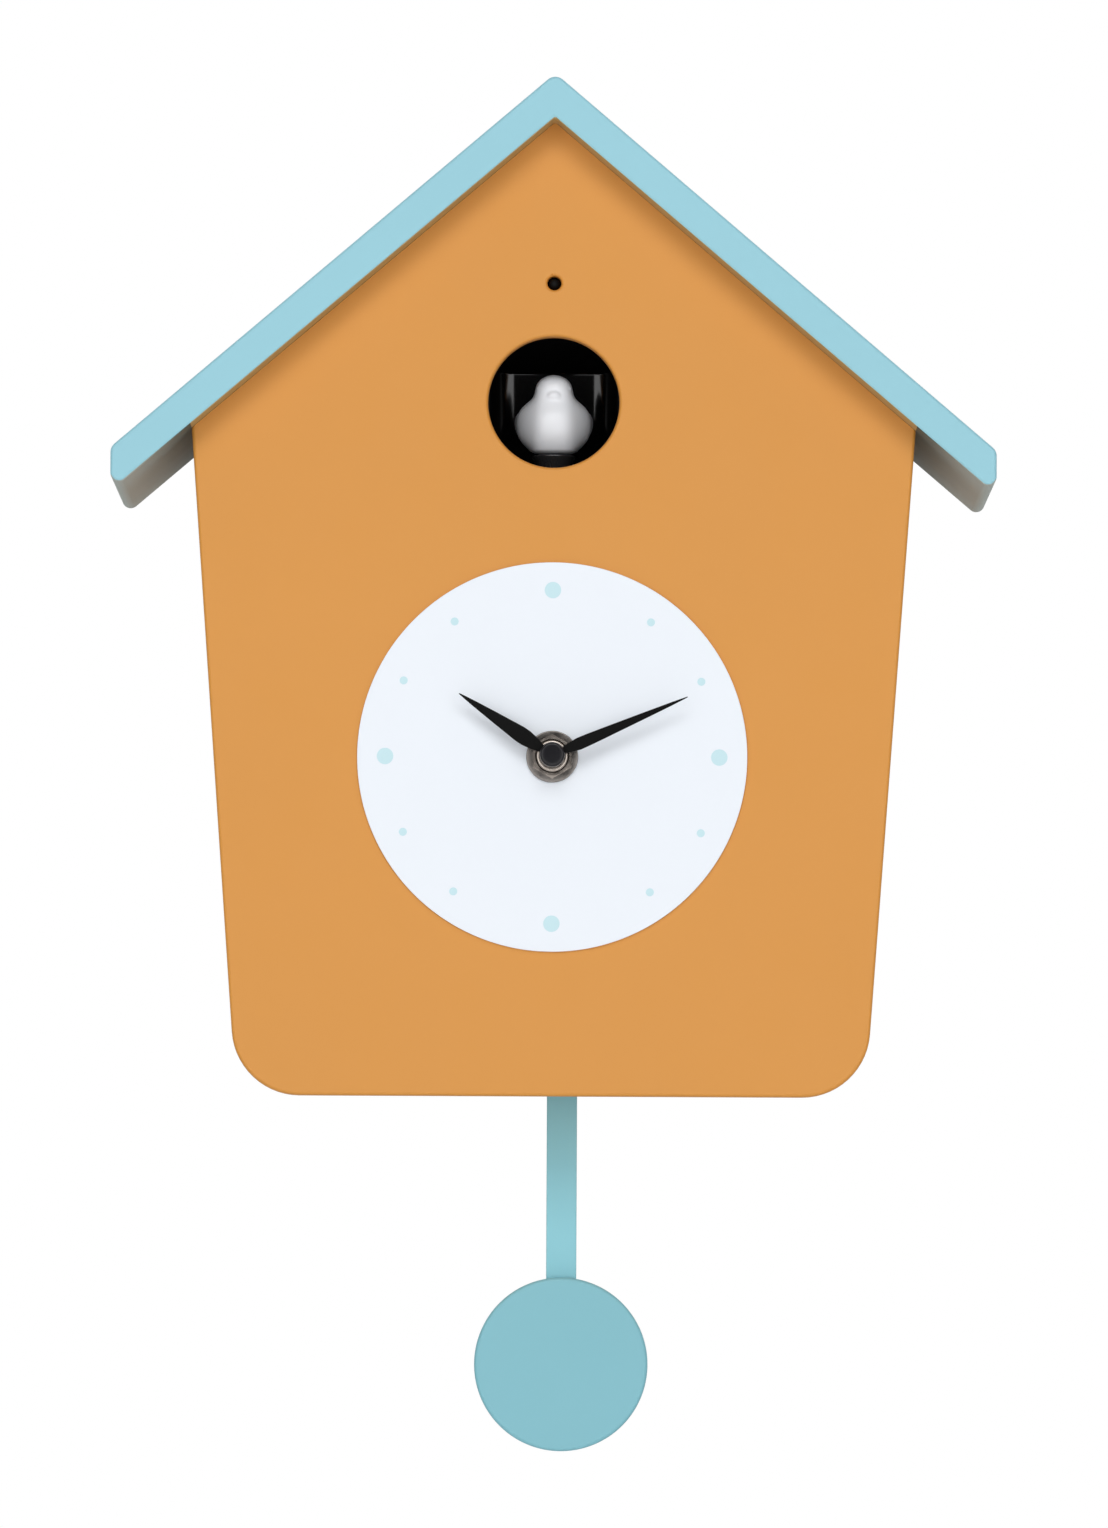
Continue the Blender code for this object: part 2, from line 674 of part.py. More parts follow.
def make_movement():
    half = CASE_SIDE / 2
    corner = 0.004
    square = rounded([(-half, -half, corner), (half, -half, corner), (half, half, corner),
                      (-half, half, corner)], 3)
    inside = half - CASE_WALL
    room = rounded([(-inside, -inside, corner), (inside, -inside, corner), (inside, inside, corner),
                    (-inside, inside, corner)], 3)
    case = plate("movement_case", [square], (CASE_FRONT, CASE_REAR), CASE_GREY, *CENTRE)
    hollow = plate("hollow", [room], (CASE_FRONT + CASE_WALL, 0.030), CASE_GREY, *CENTRE)
    bores = [pin("bore", 0.0043, *CENTRE, (0, 0.01), CASE_GREY)]
    for arbor in (THIRD_ARBOR, SECONDS_ARBOR, INTERMEDIATE_ARBOR, ROTOR_ARBOR, MINUTE_ARBOR, SETTING_PLACE):
        bores.append(pin("bore", PIVOT_HOLE_RADIUS, *arbor, (0, 0.01), CASE_GREY, 8))
    cut(case, hollow, *bores)

    shaft_hole = circle(0.0014, SETTING_PLACE[0], SETTING_PLACE[1] - DIAL_HEIGHT)
    plate("movement_cover", [square, shaft_hole], (CASE_REAR + FIT, CASE_REAR + FIT + 0.0015), CASE_GREY,
          *CENTRE)

    places = (THIRD_ARBOR, SECONDS_ARBOR, INTERMEDIATE_ARBOR, ROTOR_ARBOR)
    bridge = rounded([(-0.0145, 0.063, 0.002), (0.0045, 0.063, 0.002), (0.0045, 0.072, 0.002),
                      (-0.0050, 0.0825, 0.002), (-0.0145, 0.0825, 0.002)], 2)
    holes = [circle(PIVOT_HOLE_RADIUS, *place, 8) for place in places]
    plate("train_bridge", [bridge, *holes], (BRIDGE_LEVEL, BRIDGE_LEVEL + 0.001), BRASS)

    x, z = ROTOR_ARBOR
    stator = [rectangle(x - 0.0039, z - 0.0050, x + 0.0150, z + 0.0050), circle(0.0034, x, z)]
    plate("stator", stator, (ROTOR_LEVEL + 0.0006, ROTOR_LEVEL + 0.0016), STEEL)
    spool = [(0, 0.009), (0.0042, 0.009), (0.0042, 0.0082), (0.0036, 0.0082), (0.0036, -0.0082),
             (0.0042, -0.0082), (0.0042, -0.009), (0, -0.009)]
    turned("motor_coil", spool, COPPER, (0.0220, back(0.0162), up(0.0700)), (0, 0, 0), 16)
    box("movement_board", (-0.024, 0.0170, 0.0960), (0.016, 0.0180, 0.1090), BOARD_GREEN)
    crystal = pin("quartz_crystal", 0.0010, 0, 0, (0, 0.006), STEEL, 12)
    crystal.location = (0.004, back(0.0156), up(0.1060))
    crystal.rotation_euler = SIDEWAYS

    front = 0.0056
    rear = BRIDGE_LEVEL + 0.0008
    rotor_phase = 0.0
    rotor = gear("rotor", TEETH["rotor"], TRAIN_MODULE, ROTOR_ARBOR, INTERMEDIATE_LEVEL, rotor_phase,
                 ROTOR_LEVEL + 0.0005 - INTERMEDIATE_LEVEL)
    magnet = pin("magnet", 0.0030, *ROTOR_ARBOR, (ROTOR_LEVEL, ROTOR_LEVEL + 0.0020), FERRITE, 16)
    arbor = pin("arbor", ARBOR_RADIUS, *ROTOR_ARBOR, (front, rear), STEEL, 8)
    join(rotor, magnet, arbor)
    phase = meshed(
        ROTOR_ARBOR, TEETH["rotor"], rotor_phase, INTERMEDIATE_ARBOR, TEETH["intermediate_wheel"]
    )
    wheel_and_pinion("intermediate_wheel", "intermediate_wheel", "intermediate_pinion", INTERMEDIATE_ARBOR,
                     INTERMEDIATE_LEVEL, SECONDS_LEVEL, phase, (front, rear))
    phase = meshed(
        INTERMEDIATE_ARBOR, TEETH["intermediate_pinion"], 0, SECONDS_ARBOR, TEETH["seconds_wheel"]
    )
    wheel_and_pinion("seconds_wheel", "seconds_wheel", "seconds_pinion", SECONDS_ARBOR, SECONDS_LEVEL,
                     THIRD_LEVEL, phase, (front, rear))
    phase = meshed(SECONDS_ARBOR, TEETH["seconds_pinion"], 0, THIRD_ARBOR, TEETH["third_wheel"])
    wheel_and_pinion("third_wheel", "third_wheel", "third_pinion", THIRD_ARBOR, THIRD_LEVEL, CENTRE_LEVEL,
                     phase, (front, rear))
    phase = meshed(THIRD_ARBOR, TEETH["third_pinion"], 0, CENTRE, TEETH["centre_wheel"])
    gear("centre_wheel", TEETH["centre_wheel"], TRAIN_MODULE, CENTRE, CENTRE_LEVEL, phase, bore=0.0012)

    cannon_phase = 0.0
    minute_shaft = gear("minute_shaft", TEETH["cannon_pinion"], MOTION_MODULE, CENTRE, CANNON_LEVEL,
                        cannon_phase)
    spindle = pin("spindle", CENTRE_SHAFT_RADIUS, *CENTRE, (-0.0086, CENTRE_LEVEL + 0.0012), STEEL, 16)
    join(minute_shaft, spindle)
    phase = meshed(CENTRE, TEETH["cannon_pinion"], cannon_phase, MINUTE_ARBOR, TEETH["minute_wheel"])
    minute_wheel = gear(
        "minute_wheel", TEETH["minute_wheel"], MOTION_MODULE, MINUTE_ARBOR, CANNON_LEVEL, phase
    )
    leaves = gear("leaves", TEETH["minute_pinion"], MOTION_MODULE, MINUTE_ARBOR, HOUR_LEVEL, 0,
                  CANNON_LEVEL + 0.0005 - HOUR_LEVEL)
    arbor = pin("arbor", ARBOR_RADIUS, *MINUTE_ARBOR, (front, CANNON_LEVEL + 0.0012), STEEL, 8)
    join(minute_wheel, leaves, arbor)
    setting_phase = meshed(
        MINUTE_ARBOR, TEETH["minute_wheel"], phase, SETTING_PLACE, TEETH["setting_pinion"]
    )
    phase = meshed(MINUTE_ARBOR, TEETH["minute_pinion"], 0, CENTRE, TEETH["hour_wheel"])
    hour_wheel = gear(
        "hour_wheel", TEETH["hour_wheel"], MOTION_MODULE, CENTRE, HOUR_LEVEL, phase, bore=0.0016
    )
    profile = [(0.0013, -0.0063), (HOUR_TUBE_RADIUS, -0.0063), (HOUR_TUBE_RADIUS, 0.0085), (0.0013, 0.0085)]
    tube = facing_turned("tube", profile, GEAR_WHITE, *CENTRE, 16, ring=True)
    join(hour_wheel, tube)

    profile = [(0, 0.0655), (0.0058, 0.0655), (0.0060, 0.0659), (0.0060, 0.0693), (0.0057, 0.0697),
               (0, 0.0697)]
    knob = facing_turned("setting_knob", profile, CASE_GREY, *SETTING_PLACE, 20)
    shaft = pin("shaft", 0.0010, *SETTING_PLACE, (0.0084, 0.0665), CASE_GREY, 12)
    pivot = pin("pivot", ARBOR_RADIUS, *SETTING_PLACE, (front, 0.0090), CASE_GREY, 8)
    leaves = gear(
        "leaves", TEETH["setting_pinion"], MOTION_MODULE, SETTING_PLACE, CANNON_LEVEL, setting_phase
    )
    join(knob, shaft, pivot, leaves)


# ---------------------------------------------------------------- pendulum


def make_pendulum():
    x = PENDULUM_X
    frame = plate("pendulum_frame", [rounded([(x - 0.009, 0.055, 0.003), (x + 0.0075, 0.055, 0.003),
                  (x + 0.0075, 0.116, 0.003), (x - 0.009, 0.116, 0.003)], 3)], (0.0235, 0.0250), CASE_GREY)
    join(frame, pin("pivot_pin", 0.0012, x, PIVOT_HEIGHT, (0.0240, 0.0370), STEEL, 16))
    ring = [(0.0020, 0.0253), (0.0060, 0.0253), (0.0060, 0.0274), (0.0020, 0.0274)]
    facing_turned("pendulum_coil", ring, COPPER, x, 0.072, SIDES, ring=True)

    swing = axis("pendulum_axis", (x, back(0.033), up(PIVOT_HEIGHT)))
    arm = rounded([(x - 0.0042, 0.0545, 0.003), (x + 0.0042, 0.0545, 0.003), (x + 0.0042, 0.113, 0.004),
                   (x - 0.0042, 0.113, 0.004)], 4)
    bore = circle(0.00135, x, PIVOT_HEIGHT, 16)
    hanger = plate("pendulum_hanger", [arm, bore], (0.0320, 0.0340), CASE_GREY)
    join(hanger, pin("peg", 0.0011, x, PEG_HEIGHT, (0.0330, 0.0366), CASE_GREY, 12))
    magnet = pin("pendulum_magnet", 0.0040, x, 0.072, (0.0282, 0.0317), FERRITE)
    half = ROD_WIDTH / 2
    end = PENDULUM_BOTTOM - 0.008
    strip = rounded([(x - half, end, 0.001), (x + half, end, 0.001), (x + half, 0.065, 0.002),
                     (x - half, 0.065, 0.002)], 3)
    rod = plate("pendulum_rod", [strip, circle(0.0014, x, PEG_HEIGHT, 12)], ROD_DEPTH, PENDULUM_BLUE)
    front, rear = DISC_DEPTH
    rim = 0.0007
    profile = [(0, front), (DISC_RADIUS - rim, front), (DISC_RADIUS - rim * 0.3, front + rim * 0.3),
               (DISC_RADIUS, front + rim), (DISC_RADIUS, rear - rim),
               (DISC_RADIUS - rim * 0.3, rear - rim * 0.3), (DISC_RADIUS - rim, rear), (0, rear)]
    disc = facing_turned("pendulum_disc", profile, PENDULUM_BLUE, x, PENDULUM_BOTTOM, FINE_SIDES)
    carry(swing, hanger, magnet, rod, disc)


# ---------------------------------------------------------------- bird and its drive


def rack_outline(x, low, high, centre):
    """A rack along Y whose teeth point to +X, one of them centred."""
    pitch = pi * RACK_MODULE
    tip = x + TOOTH_TIP * RACK_MODULE
    root = x - TOOTH_ROOT * RACK_MODULE
    points = [(-0.007, low), (root, low)]
    first = int((low - centre) / pitch)
    last = int((high - centre) / pitch)
    for i in range(first, last + 1):
        y = centre + i * pitch
        for offset, reach in ((-0.5, root), (0, tip)):
            if low < y + offset * pitch < high:
                points.append((reach, y + offset * pitch))
    points += [(root, high), (-0.007, high)]
    return points


def make_chamber():
    half = CHAMBER_HALF_WIDTH
    front = back(PANEL_THICKNESS + FIT)
    outer = rounded([(-half - CHAMBER_WALL, front, 0), (half + CHAMBER_WALL, front, 0),
                     (half + CHAMBER_WALL, back(CHAMBER_REAR) + CHAMBER_WALL, CHAMBER_CORNER),
                     (-half - CHAMBER_WALL, back(CHAMBER_REAR) + CHAMBER_WALL, CHAMBER_CORNER)], 5)
    inner = rounded([(-half, front - 0.001, 0), (half, front - 0.001, 0),
                     (half, back(CHAMBER_REAR), CHAMBER_CORNER - CHAMBER_WALL),
                     (-half, back(CHAMBER_REAR), CHAMBER_CORNER - CHAMBER_WALL)], 5)
    heights = (CHAMBER_FLOOR - CHAMBER_WALL, CHAMBER_CEILING + CHAMBER_WALL)
    chamber = level("bird_chamber", [outer], heights, CHAMBER_BLACK, 0, BODY_DEPTH)
    room = level("room", [inner], (CHAMBER_FLOOR, CHAMBER_CEILING), CHAMBER_BLACK, 0, BODY_DEPTH)
    low = (-0.004, 0, CHAMBER_FLOOR - 0.005)
    high = (0.004, BIRD_DEPTH + 0.0045, CHAMBER_FLOOR + 0.001)
    slot = box("slot", low, high, CHAMBER_BLACK)
    cut(chamber, room, slot)


def make_bird():
    y = back(BIRD_DEPTH)
    foot = up(BIRD_FOOT)
    profile = [(0, 0.0184), (0.0022, 0.0180), (0.0038, 0.0166), (0.0044, 0.0146), (0.0050, 0.0128),
               (0.0070, 0.0108), (0.0088, 0.0088), (0.0094, 0.0066), (0.0090, 0.0040), (0.0072, 0.0016),
               (0.0050, 0.0), (0, 0.0)]
    bird = turned("bird", profile, BIRD_WHITE, (0, y, foot), (0, 0, 0), 16)
    beak_mesh = rod_mesh(0.0011, 0.0034, 8)
    beak = add("beak", beak_mesh, BIRD_WHITE, (0, y - 0.0047, foot + 0.0130), (radians(100), 0, 0))
    tail = add("tail", box_mesh((0.0080, 0.0120, 0.0016)), BIRD_WHITE, (0, y + 0.0100, foot + 0.0052),
               (radians(-20), 0, 0))
    join(bird, beak, tail)
    stem = [(0, 0.0), (0.0053, 0.0), (0.0053, -0.0010), (0.0040, -0.0035), (0.0033, -0.0065),
            (0.0031, -0.0106), (0, -0.0106)]
    stand = turned("bird_stand", stem, CHAMBER_BLACK, (0, y, foot - FIT), (0, 0, 0), 16)

    low, high = back(0.0156), back(0.0330)
    rack = rack_outline(RACK_LINE_X, low, high, back(0.0193))
    carriage = level("bird_carriage", [rack], (0.1410, 0.1466), GEAR_WHITE, 0, BODY_DEPTH)
    slide = axis("bird_axis", (0, y, foot))
    carry(slide, bird, stand, carriage)

    guide = box("carriage_guide", (-0.0090, 0.0056, 0.1392), (0.0040, 0.0430, 0.1407), CASE_GREY)
    join(guide, box("guide_wall", (-0.0090, 0.0056, 0.1395), (-0.0074, 0.0430, 0.1488), CASE_GREY))

    x = RACK_LINE_X + RACK_MODULE * RACK_PINION_TEETH / 2
    phase = pi + pi / RACK_PINION_TEETH
    pinion_loops = [gear_outline(RACK_PINION_TEETH, RACK_MODULE, phase)]
    wheel_loops = [gear_outline(RACK_WHEEL_TEETH, MOTOR_MODULE)]
    rack_gear = level("rack_gear", wheel_loops, (0.1363, 0.1385), GEAR_WHITE, x, 0.0193)
    leaves = level("leaves", pinion_loops, (0.1375, 0.1464), GEAR_WHITE, x, 0.0193)
    join(rack_gear, leaves, post("arbor", 0.0010, x, 0.0193, (0.1325, 0.1480), STEEL, 12))
    distance = (RACK_WHEEL_TEETH + MOTOR_PINION_TEETH) * MOTOR_MODULE / 2
    motor_x = x + distance * cos(MOTOR_DIRECTION)
    motor_depth = 0.0193 + distance * sin(MOTOR_DIRECTION)
    phase = meshed((x, back(0.0193)), RACK_WHEEL_TEETH, 0, (motor_x, back(motor_depth)), MOTOR_PINION_TEETH)
    loops = [gear_outline(MOTOR_PINION_TEETH, MOTOR_MODULE, phase)]
    pinion = level("motor_pinion", loops, (0.1363, 0.1385), BRASS, motor_x, motor_depth)
    join(pinion, post("arbor", 0.0006, motor_x, motor_depth, (0.1300, 0.1390), STEEL, 8))
    holes = [circle(0.0012, x, back(0.0193), 12), circle(0.0016, motor_x, back(motor_depth), 12)]
    outline = rectangle(0.0050, back(0.0350), 0.0290, back(0.0100))
    level("motor_bracket", [outline, *holes], (0.1343, 0.1356), STEEL, 0, BODY_DEPTH)
    motor = post("bird_motor", 0.0060, motor_x, motor_depth, (0.1180, 0.1340), STEEL)
    cut(motor, post("motor_bore", 0.0012, motor_x, motor_depth, (0.1290, 0.1350), STEEL, 12))
    bevel(motor, 0.0008)


# ---------------------------------------------------------------- electronics and power


def make_electronics():
    z = CONTROL_HEIGHT
    box("control_board", (-0.034, 0.0600, z - 0.013), (0.034, 0.0616, z + 0.013), BOARD_GREEN)
    switch = box("sound_switch", (-0.0200, 0.0619, z - 0.0026), (-0.0160, 0.0665, z + 0.0026), CASE_GREY)
    join(switch, box("lever", (-0.0192, 0.0640, z - 0.0014), (-0.0168, 0.0697, z + 0.0014), CASE_GREY))
    profile = [(0, 0.0619), (0.0015, 0.0619), (0.0015, 0.0660), (0.0050, 0.0660), (0.0050, 0.0697),
               (0, 0.0697)]
    volume = facing_turned("volume_dial", profile, CASE_GREY, VOLUME_X, z)
    cut(volume, box("mark", (0.0194, 0.0690, z + 0.001), (0.0206, 0.0710, z + 0.006), CASE_GREY))
    profile = [(0, 0.0640), (0.0040, 0.0640), (0.0040, 0.0660), (0.0030, 0.0662), (0.0030, 0.0697),
               (0, 0.0697)]
    facing_turned("test_button", profile, CASE_GREY, 0, z)

    radius = SPEAKER_RADIUS
    basket = [(0.0110, 0.0500), (radius - 0.004, 0.0610), (radius - 0.003, 0.0645), (radius, 0.0650),
              (radius, 0.0664), (radius - 0.004, 0.0664), (radius - 0.0052, 0.0616), (0.0095, 0.0515),
              (0.0070, 0.0515), (0.0070, 0.0500)]
    facing_turned("speaker_frame", basket, CASE_GREY, SPEAKER_X, SPEAKER_HEIGHT, SIDES, ring=True)
    cone = [(0, 0.0560), (0.0060, 0.0560), (radius - 0.0063, 0.0634), (radius - 0.0050, 0.0650),
            (radius - 0.0056, 0.0655), (0.0064, 0.0572), (0.0040, 0.0590), (0, 0.0596)]
    facing_turned("speaker_cone", cone, CONE_BLACK, SPEAKER_X, SPEAKER_HEIGHT)
    pin("speaker_magnet", 0.0100, SPEAKER_X, SPEAKER_HEIGHT, (0.0420, 0.0497), FERRITE)


def make_power():
    x, z = BATTERY_X, BATTERY_HEIGHT
    low, high = (x - 0.0280, 0.0500, z - 0.0245), (x + 0.0280, 0.0666, z + 0.0250)
    tray = box("battery_tray", low, high, CASE_GREY)
    low, high = (x - 0.0268, 0.0512, z - 0.0233), (x + 0.0268, 0.0800, z + 0.0238)
    room = box("room", low, high, CASE_GREY)
    cut(tray, room)
    for i in range(3):
        side = 1 if i % 2 else -1
        height = z + (i - 1) * BATTERY_PITCH
        cell = rod_mesh(BATTERY_RADIUS, BATTERY_LENGTH, SIDES)
        battery = add(f"battery_{i + 1}", cell, CELL_WRAP, (x, back(BATTERY_DEPTH), up(height)), SIDEWAYS)
        nub = rod_mesh(0.0027, 0.0020, 12)
        place = (x + side * (BATTERY_LENGTH / 2 + 0.0002), back(BATTERY_DEPTH), up(height))
        join(battery, add("nub", nub, STEEL, place, SIDEWAYS))

    hinge = DOOR_HINGE_HEIGHT
    middle = BODY_DEPTH - COVER_THICKNESS / 2
    side = DOOR_HALF_WIDTH
    door = box("battery_door", (x - side, middle - 0.0009, hinge - DOOR_DROP),
               (x + side, middle + 0.0009, hinge), CASE_GREY)
    rod = add("hinge_rod", rod_mesh(0.0009, 2 * side + 0.0034, 12), CASE_GREY, (x, back(middle), up(hinge)),
              SIDEWAYS)
    join(door, rod)
    heights = (hinge - DOOR_DROP - 0.001, hinge - DOOR_DROP + 0.002)
    notch = post("notch", 0.0050, x, middle + 0.0006, heights, CASE_GREY, 16)
    cut(door, notch)
    carry(axis("door_axis", (x, back(middle), up(hinge))), door)


make_case()
make_face()
make_movement()
make_pendulum()
make_chamber()
make_bird()
make_electronics()
make_power()
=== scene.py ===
"""Looks of the cuckoo clock: finely rounded pieces, procedural materials and soft studio light."""

import json
from math import cos, pi, radians, sin, tan

import bmesh
import bpy
from mathutils import Euler, Matrix, Quaternion, Vector


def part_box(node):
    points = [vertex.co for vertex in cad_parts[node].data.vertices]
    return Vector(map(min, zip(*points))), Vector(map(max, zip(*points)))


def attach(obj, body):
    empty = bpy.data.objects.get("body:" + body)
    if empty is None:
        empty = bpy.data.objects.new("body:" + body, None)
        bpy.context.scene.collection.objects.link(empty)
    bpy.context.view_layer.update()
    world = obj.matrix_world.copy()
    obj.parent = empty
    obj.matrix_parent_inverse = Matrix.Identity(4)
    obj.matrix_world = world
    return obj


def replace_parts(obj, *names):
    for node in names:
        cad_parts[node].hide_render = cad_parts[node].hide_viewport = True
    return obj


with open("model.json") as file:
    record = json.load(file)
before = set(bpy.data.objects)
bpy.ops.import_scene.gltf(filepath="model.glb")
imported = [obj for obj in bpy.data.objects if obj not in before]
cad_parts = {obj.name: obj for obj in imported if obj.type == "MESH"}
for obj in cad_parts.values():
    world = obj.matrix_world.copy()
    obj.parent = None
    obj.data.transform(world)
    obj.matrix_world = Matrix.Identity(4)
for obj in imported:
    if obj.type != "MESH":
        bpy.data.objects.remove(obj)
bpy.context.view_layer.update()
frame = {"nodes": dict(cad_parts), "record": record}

# ---------------------------------------------------------------- places read from the frame

MM = 0.001


def span(node, axis):
    """Lowest and highest coordinate of a CAD node along an axis, 0 to 2."""
    low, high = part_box(node)
    return low[axis], high[axis]


def centre(node):
    low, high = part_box(node)
    return (Vector(low) + Vector(high)) / 2


def heights(node):
    """A turned node's highest and lowest place over the wall, as its profile counts them."""
    front, rear = span(node, 1)
    return -front, -rear


PANEL_FRONT, PANEL_REAR = span("front_panel", 1)
PANEL_BOTTOM = span("front_panel", 2)[0]
PANEL_HALF = span("front_panel", 0)[1]
DIAL_CENTRE = centre("dial")
DIAL_RADIUS = (span("dial", 0)[1] - span("dial", 0)[0]) / 2
SENSOR_CENTRE = centre("light_sensor")
ROOF_HALF = span("roof", 0)[1]
ROOF_SLOPE = radians(40.45)
ROOF_THICKNESS = 8.3 * MM
RIDGE_RADIUS = 2.8 * MM
EAVE_RADIUS = 2.8 * MM
RIDGE_LOSS = RIDGE_RADIUS * (1 / cos(ROOF_SLOPE) - 1)  # height that rounding takes off the ridge
RIDGE = span("roof", 2)[1] + RIDGE_LOSS
FIT = 0.3 * MM  # clearance between the housing and the roof
PANEL_GAP = 0.05 * MM  # clearance between the panel and the roof
PANEL_CORNER = 16.5 * MM
PANEL_TAPER = 0.0726  # how much a side leans out for its height
HOUSING_INSET = 3 * MM
WINDOW_RADIUS = 16 * MM
WINDOW_Z = PANEL_BOTTOM + 169.0 * MM
SENSOR_HOLE = 1.7 * MM
BUSHING_HOLE = 4.3 * MM
ROUND = 128  # sides of a large round edge
# Height at which the panel's sides meet the roof.
SHOULDER = RIDGE - (ROOF_THICKNESS + FIT) / cos(ROOF_SLOPE) - PANEL_HALF * tan(ROOF_SLOPE)


# ---------------------------------------------------------------- materials


class Nodes:
    """Builds one material's node tree with short calls."""

    def __init__(self, name):
        self.material = bpy.data.materials.new(name)
        self.material.use_nodes = True
        self.tree = self.material.node_tree
        self.shader = self.tree.nodes["Principled BSDF"]
        self.place = self.add("ShaderNodeTexCoord").outputs["Object"]

    def add(self, kind, **values):
        node = self.tree.nodes.new(kind)
        for key, value in values.items():
            setattr(node, key, value)
        return node

    def link(self, source, target):
        self.tree.links.new(source, target)

    def noise(self, scale, detail=2.0, roughness=0.5, stretch=None):
        node = self.add("ShaderNodeTexNoise")
        node.inputs["Scale"].default_value = scale
        node.inputs["Detail"].default_value = detail
        node.inputs["Roughness"].default_value = roughness
        source = self.place
        if stretch:
            mapping = self.add("ShaderNodeMapping")
            mapping.inputs["Scale"].default_value = stretch
            self.link(self.place, mapping.inputs["Vector"])
            source = mapping.outputs["Vector"]
        self.link(source, node.inputs["Vector"])
        return node.outputs["Fac"]

    def spread(self, factor, low, high):
        """Turns a 0 to 1 factor into a number between two limits."""
        node = self.add("ShaderNodeMapRange")
        node.inputs["From Min"].default_value = 0.25
        node.inputs["From Max"].default_value = 0.75
        node.inputs["To Min"].default_value = low
        node.inputs["To Max"].default_value = high
        self.link(factor, node.inputs["Value"])
        return node.outputs["Result"]

    def blend(self, factor, first, second):
        node = self.add("ShaderNodeMix", data_type="RGBA")
        node.inputs["A"].default_value = (*first, 1)
        node.inputs["B"].default_value = (*second, 1)
        self.link(factor, node.inputs["Factor"])
        return node.outputs["Result"]

    def bump(self, height, strength, distance):
        node = self.add("ShaderNodeBump")
        node.inputs["Strength"].default_value = strength
        node.inputs["Distance"].default_value = distance
        self.link(height, node.inputs["Height"])
        self.link(node.outputs["Normal"], self.shader.inputs["Normal"])


def shade(colour, factor):
    return tuple(min(1.0, channel * factor) for channel in colour)


def moulded(name, colour, roughness, grain=1500, bump=0.12, depth=0.04 * MM, drift=0.03, coat=0.0,
            shine=0.5):
    """Painted or moulded plastic: fine grain, slow colour drift and slightly uneven gloss."""
    made = Nodes(name)
    cloud = made.noise(14, 3)
    speck = made.noise(grain, 2)
    made.link(made.blend(cloud, shade(colour, 1 - drift), shade(colour, 1 + drift)),
              made.shader.inputs["Base Color"])
    made.link(made.spread(made.noise(60, 4), roughness - 0.04, roughness + 0.05),
              made.shader.inputs["Roughness"])
    made.bump(speck, bump, depth)
    made.shader.inputs["Coat Weight"].default_value = coat
    made.shader.inputs["Coat Roughness"].default_value = 0.12
    made.shader.inputs["Specular IOR Level"].default_value = shine
    return made.material


def eave_underside_material(name, painted_shade_beside_case, at_end, lip_painted_shade):
    """The roof's underside: grey towards the eaves' ends and darker beside the case with painted
    shade, and on the narrow lip in front of the panel the panel's orange as it looks in shade,
    painted on."""
    made = Nodes(name)
    split = made.add("ShaderNodeSeparateXYZ")
    made.link(made.place, split.inputs["Vector"])
    width = made.add("ShaderNodeMath", operation="ABSOLUTE")
    made.link(split.outputs["X"], width.inputs[0])
    # Painted shade: darker beside the case, fading out towards the eaves' ends.
    painted_shade = made.add("ShaderNodeMapRange", interpolation_type="SMOOTHSTEP")
    painted_shade.inputs["From Min"].default_value = SHADE_FADE_START
    painted_shade.inputs["From Max"].default_value = SHADE_FADE_END
    made.link(width.outputs["Value"], painted_shade.inputs["Value"])
    over_panel = made.add("ShaderNodeMath", operation="LESS_THAN")
    over_panel.inputs[1].default_value = PANEL_HALF
    made.link(width.outputs["Value"], over_panel.inputs[0])
    before_panel = made.add("ShaderNodeMath", operation="LESS_THAN")
    before_panel.inputs[1].default_value = PANEL_FRONT
    made.link(split.outputs["Y"], before_panel.inputs[0])
    # Painted shade on the lip in front of the panel: the panel's orange as it looks in shade.
    lip = made.add("ShaderNodeMath", operation="MULTIPLY")
    made.link(over_panel.outputs["Value"], lip.inputs[0])
    made.link(before_panel.outputs["Value"], lip.inputs[1])
    paint = made.add("ShaderNodeMix", data_type="RGBA")
    paint.inputs["B"].default_value = (*lip_painted_shade, 1)
    made.link(made.blend(painted_shade.outputs["Result"], painted_shade_beside_case, at_end), paint.inputs["A"])
    made.link(lip.outputs["Value"], paint.inputs["Factor"])
    made.link(paint.outputs["Result"], made.shader.inputs["Base Color"])
    made.link(made.spread(made.noise(60, 4), 0.56, 0.65), made.shader.inputs["Roughness"])
    made.bump(made.noise(900, 2), 0.25, 0.04 * MM)
    return made.material


def metal(name, colour, roughness, brushed=(1, 1, 60), bump=0.1):
    """Bare metal with fine brushed lines along one direction and mottled roughness."""
    made = Nodes(name)
    lines = made.noise(400, 3, stretch=brushed)
    made.link(made.blend(lines, shade(colour, 0.88), shade(colour, 1.10)),
              made.shader.inputs["Base Color"])
    made.link(made.spread(lines, roughness * 0.8, roughness * 1.25),
              made.shader.inputs["Roughness"])
    made.shader.inputs["Metallic"].default_value = 1.0
    made.bump(lines, bump, 0.00002)
    return made.material


def winding(name):
    """Enamelled copper wire laid in close turns."""
    made = Nodes(name)
    turns = made.add("ShaderNodeTexWave", wave_type="BANDS", bands_direction="Z")
    turns.inputs["Scale"].default_value = 1800
    turns.inputs["Distortion"].default_value = 0.4
    made.link(made.place, turns.inputs["Vector"])
    made.link(made.blend(turns.outputs["Fac"], (0.30, 0.10, 0.04), (0.78, 0.36, 0.18)),
              made.shader.inputs["Base Color"])
    made.shader.inputs["Metallic"].default_value = 1.0
    made.shader.inputs["Roughness"].default_value = 0.32
    made.bump(turns.outputs["Fac"], 0.5, 0.00005)
    return made.material


